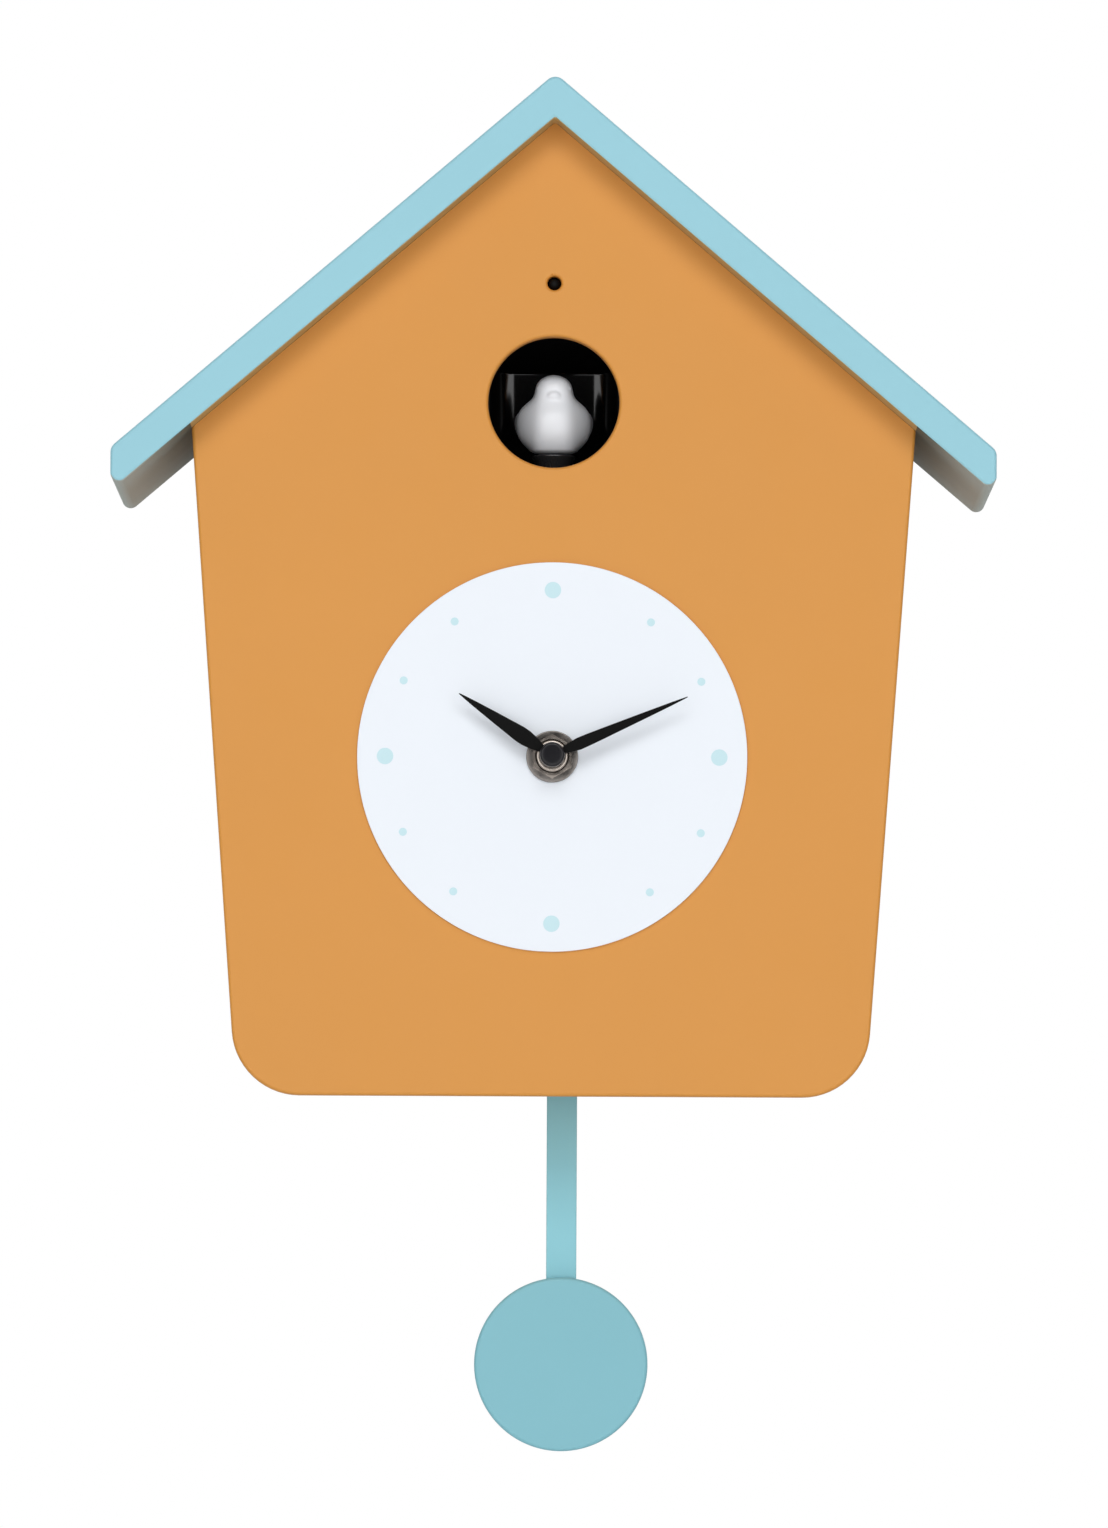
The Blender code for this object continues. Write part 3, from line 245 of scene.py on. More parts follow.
def board(name):
    """Solder mask over tracks: a checker of fine cells warped into runs."""
    made = Nodes(name)
    tracks = made.add("ShaderNodeTexVoronoi", feature="DISTANCE_TO_EDGE")
    tracks.inputs["Scale"].default_value = 260
    made.link(made.place, tracks.inputs["Vector"])
    tint = made.spread(tracks.outputs["Distance"], 0, 1)
    made.link(made.blend(tint, (0.03, 0.30, 0.12), (0.01, 0.13, 0.05)),
              made.shader.inputs["Base Color"])
    made.shader.inputs["Roughness"].default_value = 0.35
    made.bump(tracks.outputs["Distance"], 0.3, 0.00005)
    return made.material


def paper(name):
    """Pressed speaker paper with matted fibres."""
    made = Nodes(name)
    fibre = made.noise(900, 6, 0.7, (1, 1, 3))
    made.link(made.blend(fibre, (0.015, 0.015, 0.016), (0.06, 0.06, 0.06)),
              made.shader.inputs["Base Color"])
    made.shader.inputs["Roughness"].default_value = 0.9
    made.bump(fibre, 0.6, 0.0001)
    return made.material


ORANGE = (0.693, 0.295, 0.048)
LIP_PAINTED_SHADE = (0.47, 0.33, 0.13)  # painted shade: the panel's orange as it looks in shade, on the underside's narrow lip in front of the panel
SHADE_FADE_START, SHADE_FADE_END = 85 * MM, 105 * MM  # distance from the middle over which the painted shade beside the case fades
ROOF_COLOUR = (0.307, 0.607, 0.703)
PENDULUM_COLOUR = (0.222, 0.520, 0.600)
MATERIALS = {
    "roof_blue": moulded("satin_blue_roof", ROOF_COLOUR, 0.48),
    "pendulum_blue": moulded("satin_blue_pendulum", PENDULUM_COLOUR, 0.46),
    "panel_orange": moulded("satin_orange", ORANGE, 0.50, 1300, 0.16),
    "dial_white": moulded("dial_print_white", (0.86, 0.905, 0.965), 0.62, 2600, 0.06, drift=0.008),
    "hand_black": moulded("hand_black", (0.004, 0.004, 0.004), 0.35, 3000, 0.05, shine=0.08),
    "chamber_black": moulded("gloss_black", (0.004, 0.004, 0.0045), 0.10, 700, 0.015, coat=0.4),
    "bird_white": moulded("bird_white", (0.88, 0.915, 0.96), 0.38, 1800, 0.05, drift=0.01),
    "nut_metal": metal("dark_chrome", (0.42, 0.37, 0.33), 0.23, (1, 60, 1)),
    "brass": metal("turned_brass", (0.66, 0.47, 0.21), 0.30, (1, 60, 1)),
    "steel": metal("plated_steel", (0.60, 0.60, 0.62), 0.30, (40, 1, 1)),
    "ferrite": moulded("ferrite", (0.045, 0.045, 0.05), 0.6, 1200, 0.5),
    "copper": winding("copper_winding"),
    "case_plastic": moulded("textured_black", (0.032, 0.032, 0.035), 0.52, 1500, 0.5, 0.00006),
    "gear_plastic": moulded("gear_white", (0.70, 0.70, 0.66), 0.42, 1800, 0.08),
    "circuit_board": board("solder_mask"),
    "speaker_paper": paper("speaker_paper"),
    "cell_wrap": moulded("cell_sleeve", (0.13, 0.15, 0.17), 0.25, 1500, 0.05, coat=0.5),
}
# The roof's underside finish: painted shade beside the case and on the lip in front of the panel.
EAVE_UNDERSIDE_SHADED = eave_underside_material("eave_underside_painted_shade", (0.025, 0.045, 0.036), (0.44, 0.49, 0.455), LIP_PAINTED_SHADE)
# The rod's blue is the pendulum's blue made lighter: painted light, for the light that the case
# keeps off the rod.
ROD_BLUE_PAINTED_LIGHT = moulded("satin_blue_rod_painted_light", shade(PENDULUM_COLOUR, 1.16), 0.46)
WASHER_GREY = metal("washer_grey", (0.24, 0.22, 0.205), 0.22, (1, 60, 1))
STAND_BLACK = moulded("stand_black", (0.020, 0.020, 0.021), 0.26, 1500, 0.03, coat=0.6)
SENSOR_BLACK = moulded("sensor_black", (0.005, 0.005, 0.005), 0.55, 1500, 0.05, shine=0.1)
CAP_BLACK = moulded("cap_black", (0.010, 0.0095, 0.012), 0.20, 2500, 0.05, shine=0.35)
DOT_BLUE = moulded("dot_print_blue", (0.58, 0.80, 0.86), 0.6, 2600, 0.06, drift=0.01)
SLOT_OF = {part["node"]: part["material_slot"] for part in frame["record"]["subparts"]}
BODY_OF = {
    node: body
    for body, nodes in frame["record"]["behaviour"]["bodies"].items()
    for node in nodes
}

for node, obj in frame["nodes"].items():
    obj.data.materials.clear()
    obj.data.materials.append(MATERIALS[SLOT_OF[node]])


# ---------------------------------------------------------------- modelling helpers

FACING = Matrix.Rotation(radians(90), 4, "X")  # an outline's X and Y become X and Z, its front -Y


def piece(name, mesh, node, finish=None, smooth=35):
    """Adds a piece that stands for a CAD node, or beside it when the name is not the node's."""
    obj = bpy.data.objects.new(name, mesh)
    bpy.context.scene.collection.objects.link(obj)
    mesh.materials.clear()
    mesh.materials.append(finish or MATERIALS[SLOT_OF[node]])
    mesh.shade_smooth()
    mesh.set_sharp_from_angle(angle=radians(smooth))
    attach(obj, BODY_OF[node])
    return obj


def mesh_of(bm, name):
    mesh = bpy.data.meshes.new(name)
    bmesh.ops.recalc_face_normals(bm, faces=bm.faces)
    bm.to_mesh(mesh)
    bm.free()
    return mesh


def circle(radius, x=0.0, y=0.0, sides=ROUND):
    return [
        (x + radius * cos(2 * pi * i / sides), y + radius * sin(2 * pi * i / sides))
        for i in range(sides)
    ]


def rounded(corners, steps=14):
    """An outline whose corners, each (x, y, radius), are turned into arcs."""
    points = []
    for i, (x, y, radius) in enumerate(corners):
        here = Vector((x, y))
        if not radius:
            points.append((x, y))
            continue
        before = (Vector(corners[i - 1][:2]) - here).normalized()
        after = (Vector(corners[(i + 1) % len(corners)][:2]) - here).normalized()
        half = before.angle(after) / 2
        middle = here + (before + after).normalized() * radius / sin(half)
        start = here + before * radius / tan(half) - middle
        sweep = (pi - 2 * half) * (1 if before.cross(after) < 0 else -1)
        for step in range(steps + 1):
            points.append(tuple(middle + Matrix.Rotation(sweep * step / steps, 2) @ start))
    return points


def plate_mesh(name, loops, thickness, matrix):
    """A flat outline with its holes, made solid about its own XY plane and then placed."""
    curve = bpy.data.curves.new(name, "CURVE")
    curve.dimensions = "2D"
    curve.fill_mode = "BOTH"
    curve.extrude = thickness / 2
    for loop in loops:
        spline = curve.splines.new("POLY")
        spline.points.add(len(loop) - 1)
        spline.use_cyclic_u = True
        for point, (x, y) in zip(spline.points, loop):
            point.co = (x, y, 0, 1)
    obj = bpy.data.objects.new(name, curve)
    bpy.context.scene.collection.objects.link(obj)
    graph = bpy.context.evaluated_depsgraph_get()
    flat = bpy.data.meshes.new_from_object(obj.evaluated_get(graph))
    bpy.data.objects.remove(obj)
    bm = bmesh.new()
    bm.from_mesh(flat)
    bmesh.ops.remove_doubles(bm, verts=bm.verts, dist=1e-7)
    # Thin triangles in a flat face shade as lines, so they are merged.
    bmesh.ops.dissolve_limit(bm, angle_limit=radians(0.3), verts=bm.verts, edges=bm.edges)
    bm.transform(matrix)
    return mesh_of(bm, name)


def facing(name, loops, front, rear):
    """A plate that faces the front between two Y places; its outline is X and Z."""
    place = Matrix.Translation((0, (front + rear) / 2, 0)) @ FACING
    return plate_mesh(name, loops, rear - front, place)


def soften(obj, width, segments=4, angle=30):
    """Rounds a piece's sharp edges and keeps its flat faces flat."""
    modifier = obj.modifiers.new("rounding", "BEVEL")
    modifier.width = width
    modifier.segments = segments
    modifier.limit_method = "ANGLE"
    modifier.angle_limit = radians(angle)
    modifier.harden_normals = True
    # With the clamp on, one short edge anywhere would take the rounding off the whole piece.
    modifier.use_clamp_overlap = False
    return obj


def evaluated(obj):
    """Replaces an object's mesh by what its modifiers make of it."""
    graph = bpy.context.evaluated_depsgraph_get()
    obj.data = bpy.data.meshes.new_from_object(obj.evaluated_get(graph))
    obj.modifiers.clear()
    return obj


def subtract(obj, mesh):
    """Cuts a mesh out of a piece, at once."""
    cutter = bpy.data.objects.new("cutter", mesh)
    bpy.context.scene.collection.objects.link(cutter)
    modifier = obj.modifiers.new("cut", "BOOLEAN")
    modifier.operation = "DIFFERENCE"
    modifier.object = cutter
    cut = evaluated(obj).data
    bm = bmesh.new()
    bm.from_mesh(cut)
    bmesh.ops.remove_doubles(bm, verts=bm.verts, dist=0.01 * MM)
    bm.to_mesh(cut)
    bm.free()
    bpy.data.objects.remove(cutter)


def block_mesh(low, high):
    bm = bmesh.new()
    low, high = Vector(low), Vector(high)
    size = Matrix.Diagonal((*(high - low), 1))
    bmesh.ops.create_cube(bm, size=1, matrix=Matrix.Translation((low + high) / 2) @ size)
    return mesh_of(bm, "block")


def turned_mesh(name, profile, matrix, sides=64, closed=False):
    """A profile of (radius, height) spun about its own Z and then placed."""
    bm = bmesh.new()
    points = [bm.verts.new((radius, 0, height)) for radius, height in profile]
    pairs = list(zip(points, points[1:]))
    if closed:
        pairs.append((points[-1], points[0]))
    edges = [bm.edges.new(pair) for pair in pairs]
    bmesh.ops.spin(bm, geom=points + edges, cent=(0, 0, 0), axis=(0, 0, 1), angle=2 * pi,
                   steps=sides, use_merge=True)
    bmesh.ops.remove_doubles(bm, verts=bm.verts, dist=1e-7)
    bm.transform(matrix)
    return mesh_of(bm, name)


def arc(x, y, radius, start, end, steps=6):
    """Points of a profile's arc about (x, y), angles in degrees."""
    turn = [radians(start + (end - start) * i / steps) for i in range(steps + 1)]
    return [(x + radius * cos(a), y + radius * sin(a)) for a in turn]


def facing_axis(x, z):
    """Places a turned piece on an axis to the front: its height is then minus Y."""
    return Matrix.Translation((x, 0, z)) @ FACING


# ---------------------------------------------------------------- case


def make_roof():
    front, rear = span("roof", 1)
    inner = RIDGE - ROOF_THICKNESS / cos(ROOF_SLOPE)
    drop = ROOF_HALF * tan(ROOF_SLOPE)
    lower_radius = EAVE_RADIUS * 0.75
    outline = rounded([
        (0, RIDGE, RIDGE_RADIUS),
        (-ROOF_HALF, RIDGE - drop, EAVE_RADIUS),
        (-ROOF_HALF, inner - drop, lower_radius),
        (0, inner, 0),
        (ROOF_HALF, inner - drop, lower_radius),
        (ROOF_HALF, RIDGE - drop, EAVE_RADIUS),
    ], 8)
    roof = piece("roof_shell", facing("roof_shell", [outline], front, rear), "roof")
    # The faces that look down take a grey finish in place of the blue, with painted shade beside
    # the case.
    roof.data.materials.append(EAVE_UNDERSIDE_SHADED)
    for face in roof.data.polygons:
        face.material_index = int(face.normal.z < -0.3)
    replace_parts(soften(roof, 0.8 * MM), "roof")


def house_outline(inset, corner, roof_gap):
    """The panel's outline, moved in by an inset and kept clear of the roof's underside."""
    peak = RIDGE - (ROOF_THICKNESS + roof_gap) / cos(ROOF_SLOPE)
    bottom = PANEL_BOTTOM
    half = PANEL_HALF - PANEL_TAPER * (SHOULDER - bottom) - inset
    shoulder = (peak - bottom - half * tan(ROOF_SLOPE)) / (1 + PANEL_TAPER * tan(ROOF_SLOPE))
    side = half + PANEL_TAPER * shoulder
    foot = half + PANEL_TAPER * inset
    return rounded([
        (-foot, bottom + inset, corner),
        (foot, bottom + inset, corner),
        (side, bottom + shoulder, 0),
        (0, peak, 0),
        (-side, bottom + shoulder, 0),
    ])


def make_panel():
    loops = [
        house_outline(0, PANEL_CORNER, PANEL_GAP),
        circle(WINDOW_RADIUS, 0, WINDOW_Z),
        circle(SENSOR_HOLE, 0, SENSOR_CENTRE.z, 40),
        circle(BUSHING_HOLE, 0, DIAL_CENTRE.z, 48),
    ]
    panel = piece("front_face", facing("front_face", loops, PANEL_FRONT, PANEL_REAR), "front_panel")
    # The two edges against the roof stay crisp, so no dark groove shows there.
    peak = RIDGE - (ROOF_THICKNESS + PANEL_GAP) / cos(ROOF_SLOPE)
    bm = bmesh.new()
    bm.from_mesh(panel.data)
    weight = bm.edges.layers.float.new("bevel_weight_edge")
    for edge in bm.edges:
        below_roof = [peak - abs(v.co.x) * tan(ROOF_SLOPE) - v.co.z for v in edge.verts]
        against_roof = max(map(abs, below_roof)) < 0.1 * MM
        edge[weight] = float(edge.calc_face_angle(0) > radians(30) and not against_roof)
    bm.to_mesh(panel.data)
    bm.free()
    soften(panel, 0.9 * MM).modifiers["rounding"].limit_method = "WEIGHT"
    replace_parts(panel, "front_panel")


DOT_RING = 40.6 * MM
DOT_RADII = (2.0 * MM, 0.97 * MM)  # a quarter's dot, an hour's dot
DOT_RAISED, DOT_SUNK = 0.02 * MM, 0.1 * MM
# Degrees past each quarter: a small dot stands 36 degrees off the vertical, 27 off the horizontal.
DOT_STEPS = ((0, 36, 63), (0, 27, 54))


def make_face():
    z = DIAL_CENTRE.z
    front, rear = span("dial", 1)
    loops = [circle(DIAL_RADIUS, 0, z, 192), circle(BUSHING_HOLE, 0, z, 48)]
    dial = piece("dial_disc", facing("dial_disc", loops, front, rear), "dial")
    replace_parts(soften(dial, 0.15 * MM, 3), "dial")
    for hour in range(12):
        quarter, step = divmod(hour, 3)
        angle = radians(90 * quarter + DOT_STEPS[quarter % 2][step])
        dot = circle(DOT_RADII[step > 0], DOT_RING * sin(angle), z + DOT_RING * cos(angle), 48)
        mesh = facing(f"dot_{hour}", [dot], front - DOT_RAISED, front + DOT_SUNK)
        piece(f"hour_dot_{hour:02d}", mesh, "dial", DOT_BLUE)


def make_sensor():
    high, low = heights("light_sensor")
    lens, flange = 1.35 * MM, 2.5 * MM  # radii
    profile = arc(0, high - lens, lens, 90, 0, 8)
    profile += [(lens, low + 4 * MM), (flange, low + 3.7 * MM), (flange, low), (0, low)]
    mesh = turned_mesh("sensor_lens", profile, facing_axis(0, SENSOR_CENTRE.z), 32)
    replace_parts(piece("sensor_lens", mesh, "light_sensor", SENSOR_BLACK), "light_sensor")


HOUSING_WALL = 2.5 * MM
PENDULUM_SLOT_HALF = 20 * MM
PENDULUM_SLOT_DEPTHS = (29 * MM, 38 * MM)  # behind the panel's front
BOSS_RADII = (1.7 * MM, 6 * MM)
BOSS_DEPTHS = (50.2 * MM, 66.4 * MM)


def make_housing():
    front, rear = span("housing", 1)
    corner = PANEL_CORNER - HOUSING_INSET
    loops = [
        house_outline(HOUSING_INSET, corner, FIT),
        house_outline(HOUSING_INSET + HOUSING_WALL, corner - HOUSING_WALL, FIT + HOUSING_WALL),
    ]
    shell = piece("housing_shell", facing("housing_shell", loops, front, rear), "housing")
    middle = centre("pendulum_disc").x
    near, far = PENDULUM_SLOT_DEPTHS
    slot = ((middle - PENDULUM_SLOT_HALF, PANEL_FRONT + near, PANEL_BOTTOM - 10 * MM),
            (middle + PENDULUM_SLOT_HALF, PANEL_FRONT + far, PANEL_BOTTOM + 12 * MM))
    subtract(shell, block_mesh(*slot))
    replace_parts(soften(shell, 0.5 * MM, 3), "housing")
    (bore, outside), (near, far) = BOSS_RADII, BOSS_DEPTHS
    profile = [(bore, -near), (outside, -near), (outside, -far), (bore, -far)]
    for i in range(1, 5):
        screw = centre(f"cover_screw_{i}")
        place = Matrix.Translation((screw.x, PANEL_FRONT, screw.z)) @ FACING
        piece(f"screw_boss_{i}", turned_mesh("boss", profile, place, 32, closed=True), "housing")


# ---------------------------------------------------------------- hub and hands


WASHER_RADIUS = 6.3 * MM
NUT_CORNER = 5.40 * MM
NUT_BORE = 4.12 * MM
THREAD_RADIUS = 3.98 * MM
THREAD_DEPTH = 0.22 * MM
THREAD_PITCH = 0.6 * MM
THREAD_TURNS = 7
BUSHING_BORE = 2.3 * MM
BUSHING_FLANGE = 5.2 * MM


def make_washer(place):
    high, low = heights("washer")
    rim = 0.25 * MM
    profile = [(BUSHING_HOLE, high)] + arc(WASHER_RADIUS - rim, high - rim, rim, 90, 0, 5)
    profile += arc(WASHER_RADIUS - rim, low + rim, rim, 0, -90, 5) + [(BUSHING_HOLE, low)]
    mesh = turned_mesh("hub_washer", profile, place, 96, closed=True)
    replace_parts(piece("hub_washer", mesh, "washer", WASHER_GREY), "washer")


def make_nut(place):
    z = DIAL_CENTRE.z
    hexagon = [(NUT_CORNER * sin(pi / 3 * i), z + NUT_CORNER * cos(pi / 3 * i)) for i in range(6)]
    loops = [hexagon[::-1], circle(NUT_BORE, 0, z, 48)]
    nut = piece("hub_nut", facing("hub_nut", loops, *span("hex_nut", 1)), "hex_nut")
    # The corners are turned down on a cone, as on a real nut.
    high, low = heights("hex_nut")
    above, below, clear = high + 1 * MM, low - 1 * MM, 9 * MM
    cone = [(4.6 * MM, above), (clear, above), (clear, below), (6.0 * MM, below),
            (6.0 * MM, high - 0.75 * MM), (4.75 * MM, high)]
    subtract(nut, turned_mesh("cone", cone, place, 72, closed=True))
    nut.data.shade_smooth()
    nut.data.set_sharp_from_angle(angle=radians(25))
    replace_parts(nut, "hex_nut")


def make_bushing(place):
    high, low = heights("threaded_bushing")
    inner, outer = 0.3 * MM, 0.6 * MM  # roundings of the mouth
    profile = [(BUSHING_BORE, high - inner)]
    profile += arc(BUSHING_BORE + inner, high - inner, inner, 180, 90, 4)
    profile += arc(THREAD_RADIUS - outer, high - outer, outer, 90, 0, 6)
    for i in range(THREAD_TURNS):
        start = high - 0.8 * MM - i * THREAD_PITCH
        profile += [(THREAD_RADIUS - THREAD_DEPTH, start - 0.15 * MM),
                    (THREAD_RADIUS, start - 0.45 * MM)]
    profile += [(THREAD_RADIUS, low + 0.7 * MM), (BUSHING_FLANGE, low + 0.6 * MM),
                (BUSHING_FLANGE, low), (BUSHING_BORE, low)]
    mesh = turned_mesh("hub_bushing", profile, place, 64, closed=True)
    bushing = piece("hub_bushing", mesh, "threaded_bushing", MATERIALS["nut_metal"])
    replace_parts(bushing, "threaded_bushing")


def make_hub():
    place = facing_axis(0, DIAL_CENTRE.z)
    make_washer(place)
    make_nut(place)
    make_bushing(place)


HANDS = (  # node, length, width, where it is widest, neck, angle, hub bore, hub radius
    ("hour_hand", 27.2 * MM, 4.05 * MM, 8.9 * MM, 1.4 * MM, radians(-56.5), 2.1 * MM, 2.9 * MM),
    ("minute_hand", 35.8 * MM, 3.05 * MM, 7.9 * MM, 1.3 * MM, radians(66.4), 1.1 * MM, 2.7 * MM),
)
HAND_START = 2.3 * MM
HAND_TIP = 0.10 * MM  # half the width of a tip
HAND_STEPS = 14


def leaf(length, width, widest, neck):
    """A leaf-shaped blade's outline, upwards from its hub."""
    half = []
    for i in range(HAND_STEPS + 1):
        along = HAND_START + (length - HAND_START) * i / HAND_STEPS
        if along < widest:
            share = (along - HAND_START) / (widest - HAND_START)
            across = neck / 2 + (width - neck) / 2 * (1 - (1 - share) ** 1.7)
        else:
            share = (along - widest) / (length - widest)
            across = width / 2 * (1 - share) ** 0.86 + HAND_TIP * share
        half.append((across, along))
    return half + [(-x, y) for x, y in reversed(half)]


def make_hands():
    for node, length, width, widest, neck, angle, bore, radius in HANDS:
        front, rear = span(node, 1)
        place = Matrix.Translation((0, (front + rear) / 2, DIAL_CENTRE.z)) @ FACING
        place @= Matrix.Rotation(-angle, 4, "Z")
        blade = [leaf(length, width, widest, neck)]
        ring = [circle(radius, sides=48), circle(bore, sides=48)]
        for name, loops, edge in (("blade", blade, 0.07 * MM), ("collar", ring, 0.12 * MM)):
            mesh = plate_mesh(f"{node}_{name}", loops, rear - front, place)
            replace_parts(soften(piece(f"{node}_{name}", mesh, node), edge, 2), node)


def make_cap():
    high, low = heights("hand_cap")
    bore, depth = 1.2 * MM, 1.7 * MM
    profile = [(0, high - 0.02 * MM), (1.8 * MM, high - 0.1 * MM)]
    profile += arc(2.35 * MM, high - 0.75 * MM, 0.65 * MM, 85, 0, 8)
    profile += arc(2.8 * MM, low + 0.2 * MM, 0.2 * MM, 0, -90, 3)
    profile += [(bore, low), (bore, low + depth), (0, low + depth)]
    mesh = turned_mesh("centre_cap", profile, facing_axis(0, DIAL_CENTRE.z), 64)
    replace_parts(piece("centre_cap", mesh, "hand_cap", CAP_BLACK), "hand_cap")


# ---------------------------------------------------------------- bird and its chamber


CHAMBER_WALL = 1.2 * MM
CHAMBER_CORNER = 9.8 * MM
CHAMBER_EDGE = 0.35 * MM  # the rounded join between the wall and the ceiling
CEILING_DROP = 5.4 * MM  # how far the ceiling comes down at the rear
EDGE_STEPS = 4


def bridge(bm, ring):
    """Closes a ring of vertices, alike on both sides, with a strip of faces across it."""
    count = len(ring)
    for i in range(count // 2 - 1):
        bm.faces.new((ring[i], ring[i + 1], ring[count - 2 - i], ring[count - 1 - i]))


def chamber_levels(bm, outline, half, front, rear, floor, ceiling):
    """Rings of vertices from the floor up the wall and round the edge to the ceiling."""
    def wall_top(y):
        return ceiling - CEILING_DROP * (y - front) / (rear - front) - CHAMBER_EDGE

    levels = []
    for share in (0.0, 0.35, 0.7, 1.0):
        levels.append([bm.verts.new((x, y, floor + (wall_top(y) - floor) * share))
                       for x, y in outline])
    for i in range(1, EDGE_STEPS + 1):
        turn = radians(90 * i / EDGE_STEPS)
        pull, rise = CHAMBER_EDGE * (1 - cos(turn)), CHAMBER_EDGE * sin(turn)
        levels.append([
            bm.verts.new((x * (1 - pull / half), min(y, rear - pull) if y > front else y,
                          wall_top(y) + rise))
            for x, y in outline
        ])
    return levels


def make_chamber():
    low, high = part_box("bird_chamber")
    half = high[0] - CHAMBER_WALL
    front, rear = low[1], high[1] - CHAMBER_WALL
    floor, ceiling = low[2] + CHAMBER_WALL, high[2] - CHAMBER_WALL
    outline = rounded([
        (half, front, 0),
        (half, rear, CHAMBER_CORNER),
        (-half, rear, CHAMBER_CORNER),
        (-half, front, 0),
    ], 12)
    bm = bmesh.new()
    levels = chamber_levels(bm, outline, half, front, rear, floor, ceiling)
    for lower, upper in zip(levels, levels[1:]):
        for i in range(len(outline) - 1):
            bm.faces.new((lower[i], lower[i + 1], upper[i + 1], upper[i]))
    bridge(bm, levels[-1])
    bridge(bm, levels[0])
    cup = piece("chamber_cup", mesh_of(bm, "chamber_cup"), "bird_chamber", smooth=50)
    shell = cup.modifiers.new("wall", "SOLIDIFY")
    shell.thickness = CHAMBER_WALL
    shell.offset = 1
    evaluated(cup)
    stand_rear = span("bird_stand", 1)[1]
    slot = ((-4 * MM, front - MM, floor - 4 * MM), (4 * MM, stand_rear - 1.2 * MM, floor + 1 * MM))
    subtract(cup, block_mesh(*slot))
    cup.data.shade_smooth()
    cup.data.set_sharp_from_angle(angle=radians(50))
    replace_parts(cup, "bird_chamber")


def oval(bm, place, size, turns):
    """A ball stretched to its half sizes in millimetres, turned about X, Y and Z in degrees."""
    turn = Euler([radians(angle) for angle in turns]).to_matrix().to_4x4()
    sizes = Matrix.Diagonal((*[value * MM for value in size], 1))
    matrix = Matrix.Translation(place) @ turn @ sizes
    bmesh.ops.create_uvsphere(bm, u_segments=40, v_segments=24, radius=1, matrix=matrix)


BIRD_LEVELS = (  # mm: height, half width of breast and of wings, reach to the front and the rear
    (0.0, 4.7, 4.9, 4.8, 5.0),
    (1.1, 5.2, 6.2, 5.8, 6.4),
    (2.5, 5.5, 7.9, 7.0, 8.0),
    (4.3, 5.8, 9.5, 8.0, 9.0),
    (6.8, 5.9, 10.1, 8.6, 9.0),
    (9.2, 5.7, 10.0, 8.3, 8.2),
    (11.0, 5.4, 9.2, 7.4, 6.8),
    (12.5, 5.1, 7.6, 6.6, 5.2),
    (13.7, 4.8, 5.4, 6.2, 4.0),
    (15.1, 4.5, 4.8, 6.2, 3.3),
    (16.8, 4.3, 4.6, 6.0, 2.6),
    (18.4, 3.5, 3.7, 4.9, 1.9),
    (19.6, 1.2, 1.3, 2.2, -0.4),
)
# Place over the foot, half sizes and turns, in mm and degrees: one on each side if off the middle.
BIRD_OVALS = (
    (6.7, 2.2, 6.9, (1.7, 6.6, 3.9), (16, 6, -22)),  # folded wing on the flank
    (5.6, 7.6, 5.0, (1.3, 4.6, 2.1), (24, 0, 12)),  # wing tip over the tail
    (3.8, -3.4, 16.0, (0.5, 0.5, 0.5), (0, 0, 0)),  # eye
    (0, 9.6, 4.6, (3.2, 5.6, 1.2), (22, 0, 0)),  # tail
    (0, -5.6, 13.9, (1.7, 1.1, 1.3), (12, 0, 0)),  # beak
)


def bird_body(bm, x, y, foot):
    """The bird's trunk and head: a cage of levels, narrow at the breast and widest at the wings."""
    rings = []
    for height, breast, wing, front, rear in BIRD_LEVELS:
        half = [
            (0, -front),
            (breast * 0.62, -front * 0.92),
            (breast, -front * 0.55),
            (breast + (wing - breast) * 0.62, -front * 0.05),
            (wing, rear * 0.42),
            (wing * 0.62, rear * 0.86),
        ]
        loop = half + [(0, rear)] + [(-across, depth) for across, depth in reversed(half[1:])]
        rings.append([
            bm.verts.new((x + across * MM, y + depth * MM, foot + height * MM))
            for across, depth in loop
        ])
    count = len(rings[0])
    for lower, upper in zip(rings, rings[1:]):
        for i in range(count):
            j = (i + 1) % count
            bm.faces.new((lower[i], lower[j], upper[j], upper[i]))
    bm.faces.new(rings[0][::-1])
    bm.faces.new(rings[-1])


def make_bird():
    foot = span("bird", 2)[0]
    x, y = 0.0, centre("bird_stand").y
    bm = bmesh.new()
    bird_body(bm, x, y, foot)
    trunk = piece("bird_body", mesh_of(bm, "bird_body"), "bird", smooth=180)
    round_off = trunk.modifiers.new("round", "SUBSURF")
    round_off.levels = round_off.render_levels = 2
    evaluated(trunk)

    bm = bmesh.new()
    bm.from_mesh(trunk.data)
    for across, depth, height, size, turns in BIRD_OVALS:
        for side in (1, -1) if across else (1,):
            place = (x + side * across * MM, y + depth * MM, foot + height * MM)
            oval(bm, place, size, (turns[0], side * turns[1], side * turns[2]))
    trunk.data = mesh_of(bm, "bird_body")
    trunk.data.materials.append(MATERIALS["bird_white"])
    melt = trunk.modifiers.new("melt", "REMESH")
    melt.mode = "VOXEL"
    melt.voxel_size = 0.24 * MM
    melt.use_smooth_shade = True
    smooth = trunk.modifiers.new("smooth", "SMOOTH")
    smooth.factor = 0.5
    smooth.iterations = 10
    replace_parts(evaluated(trunk), "bird")


STAND_TOP, STAND_FOOT = 5.0 * MM, 3.05 * MM  # radii
STAND_EDGE = 0.3 * MM
STAND_STEPS = 10


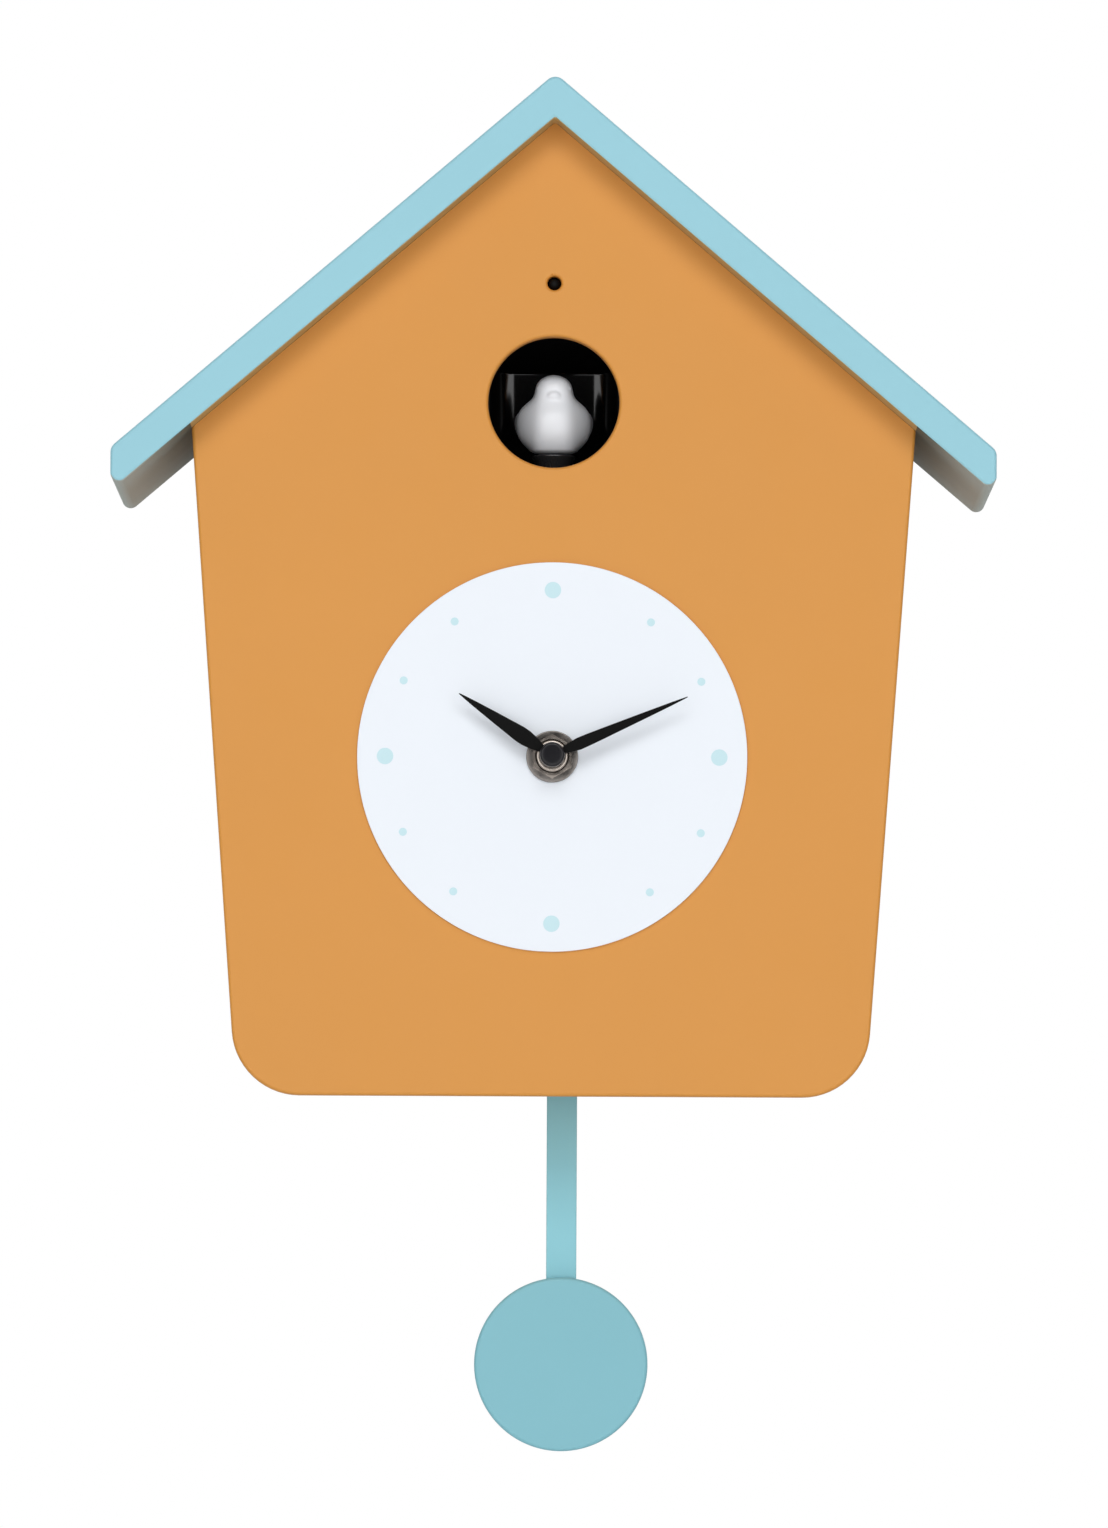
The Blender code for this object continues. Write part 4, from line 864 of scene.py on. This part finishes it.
def make_stand():
    low, top = span("bird_stand", 2)
    profile = [(0, top), (STAND_TOP, top)]
    profile += arc(STAND_TOP, top - STAND_EDGE, STAND_EDGE, 90, -40, 5)
    for i in range(1, STAND_STEPS + 1):
        share = i / STAND_STEPS
        radius = STAND_FOOT + (STAND_TOP - STAND_FOOT) * (1 - share) ** 1.8
        start = top - 2 * STAND_EDGE
        profile.append((radius, start - (start - low) * share))
    profile.append((0, low))
    place = Matrix.Translation((0, centre("bird_stand").y, 0))
    mesh = turned_mesh("stand_stem", profile, place, 48)
    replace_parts(piece("stand_stem", mesh, "bird_stand", STAND_BLACK), "bird_stand")


# ---------------------------------------------------------------- pendulum


PEG_HEIGHT = 60 * MM  # over the panel's lower edge
PEG_HOLE = 1.4 * MM
BOB_RIM = 0.9 * MM


def make_rod():
    low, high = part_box("pendulum_rod")
    x = centre("pendulum_rod").x
    strip = rounded([
        (low[0], low[2], 1 * MM),
        (high[0], low[2], 1 * MM),
        (high[0], high[2], 2 * MM),
        (low[0], high[2], 2 * MM),
    ], 6)
    loops = [strip, circle(PEG_HOLE, x, PANEL_BOTTOM + PEG_HEIGHT, 24)]
    mesh = facing("pendulum_strip", loops, low[1], high[1])
    rod = piece("pendulum_strip", mesh, "pendulum_rod", ROD_BLUE_PAINTED_LIGHT)
    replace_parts(soften(rod, 0.3 * MM, 3), "pendulum_rod")


def make_bob():
    low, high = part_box("pendulum_disc")
    middle = centre("pendulum_disc")
    radius = (high[0] - low[0]) / 2
    top, base = heights("pendulum_disc")
    profile = [(0, top), (radius / 2, top)]
    profile += arc(radius - BOB_RIM, top - BOB_RIM, BOB_RIM, 90, 0, 8)
    profile += arc(radius - BOB_RIM, base + BOB_RIM, BOB_RIM, 0, -90, 8)
    profile += [(radius / 2, base), (0, base)]
    mesh = turned_mesh("pendulum_bob", profile, facing_axis(middle.x, middle.z), 160)
    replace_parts(piece("pendulum_bob", mesh, "pendulum_disc"), "pendulum_disc")


# ---------------------------------------------------------------- studio


FRONT_LIGHT, SIDE_LIGHT, BACK_LIGHT = 0.03, 0.30, 0.60  # the sky's strengths
LAMPS = (  # name, place, size, power
    ("left_softbox", (-0.95, -1.85, -0.05), (1.3, 1.5), 11),
    ("right_softbox", (0.95, -1.85, -0.05), (1.3, 1.5), 11),
    ("top_softbox", (0.0, -2.0, 1.15), (1.6, 0.8), 17),
    ("front_fill", (0.0, -2.4, -0.60), (1.4, 0.5), 4.8),
)
FLOOR_DEPTH = 1.1  # below the panel
VIEW_X = 0.45 * MM
VIEW_HEIGHT = 80.7 * MM  # of the aim, over the panel's lower edge
VIEW_DISTANCE = 2.79
VIEW_BELOW = 0.170  # how far the camera is below its aim
VIEW_WIDTH = 0.3713  # what the frame's width shows at the aim
VIEW_ROLL = radians(0.27)


def make_sky(scene):
    """White to the camera. As light it is dim in front and below, brighter beside and behind."""
    world = bpy.data.worlds.new("studio")
    scene.world = world
    world.use_nodes = True
    tree = world.node_tree
    nodes, links = tree.nodes, tree.links
    place = nodes.new("ShaderNodeTexCoord").outputs["Generated"]
    parts = nodes.new("ShaderNodeSeparateXYZ")
    links.new(place, parts.inputs["Vector"])

    def ramp(source, low, high, start, end):
        node = nodes.new("ShaderNodeMapRange")
        node.interpolation_type = "SMOOTHSTEP"
        limits = {"From Min": start, "From Max": end, "To Min": low, "To Max": high}
        for socket, value in limits.items():
            node.inputs[socket].default_value = value
        links.new(source, node.inputs["Value"])
        return node.outputs["Result"]

    def combine(operation, first, second):
        node = nodes.new("ShaderNodeMath")
        node.operation = operation
        links.new(first, node.inputs[0])
        links.new(second, node.inputs[1])
        return node.outputs["Value"]

    before = ramp(parts.outputs["Y"], FRONT_LIGHT, SIDE_LIGHT, -0.9, -0.2)
    behind = ramp(parts.outputs["Y"], 0.0, BACK_LIGHT, -0.1, 0.7)
    depth = combine("ADD", before, behind)
    height = ramp(parts.outputs["Z"], 0.45, 1.15, -0.8, 0.9)
    sky = nodes["Background"]
    sky.inputs["Color"].default_value = (1, 1, 1, 1)
    links.new(combine("MULTIPLY", depth, height), sky.inputs["Strength"])
    backdrop = nodes.new("ShaderNodeBackground")
    backdrop.inputs["Color"].default_value = (1, 1, 1, 1)
    backdrop.inputs["Strength"].default_value = 1.0
    choose = nodes.new("ShaderNodeMixShader")
    links.new(nodes.new("ShaderNodeLightPath").outputs["Is Camera Ray"], choose.inputs["Fac"])
    links.new(sky.outputs["Background"], choose.inputs[1])
    links.new(backdrop.outputs["Background"], choose.inputs[2])
    links.new(choose.outputs["Shader"], nodes["World Output"].inputs["Surface"])


def make_floor(scene):
    bm = bmesh.new()
    place = Matrix.Translation((0, 0, PANEL_BOTTOM - FLOOR_DEPTH))
    bmesh.ops.create_grid(bm, x_segments=1, y_segments=1, size=3.0, matrix=place)
    mesh = mesh_of(bm, "studio_floor")
    pale = moulded("floor_pale", (0.82, 0.82, 0.82), 0.85, 40, 0.05, 1 * MM, drift=0.01)
    mesh.materials.append(pale)
    floor = bpy.data.objects.new("studio_floor", mesh)
    scene.collection.objects.link(floor)


def make_lamps(scene):
    target = Vector((0, PANEL_FRONT, DIAL_CENTRE.z + 0.02))
    for name, place, size, power in LAMPS:
        light = bpy.data.lights.new(name, "AREA")
        light.shape = "RECTANGLE"
        light.size, light.size_y = size
        light.energy = power
        lamp = bpy.data.objects.new(name, light)
        lamp.location = place
        lamp.rotation_euler = (target - Vector(place)).to_track_quat("-Z", "Y").to_euler()
        scene.collection.objects.link(lamp)


def make_camera(scene):
    aim = Vector((VIEW_X, PANEL_FRONT, PANEL_BOTTOM + VIEW_HEIGHT))
    eye = Vector((VIEW_X, PANEL_FRONT - VIEW_DISTANCE, aim.z - VIEW_BELOW))
    lens = bpy.data.cameras.new("photo_camera")
    lens.sensor_width = 36
    lens.lens = lens.sensor_width * (aim - eye).length / VIEW_WIDTH
    lens.clip_end = 50
    camera = bpy.data.objects.new("photo_camera", lens)
    camera.location = eye
    camera.rotation_mode = "QUATERNION"
    roll = Quaternion((0, 0, 1), VIEW_ROLL)
    camera.rotation_quaternion = (aim - eye).to_track_quat("-Z", "Y") @ roll
    scene.collection.objects.link(camera)
    scene.camera = camera


def make_studio():
    scene = bpy.context.scene
    scene.view_settings.view_transform = "Standard"
    make_sky(scene)
    make_floor(scene)
    make_lamps(scene)
    make_camera(scene)


make_roof()
make_panel()
make_face()
make_sensor()
make_housing()
make_hub()
make_hands()
make_cap()
make_chamber()
make_bird()
make_stand()
make_rod()
make_bob()
make_studio()
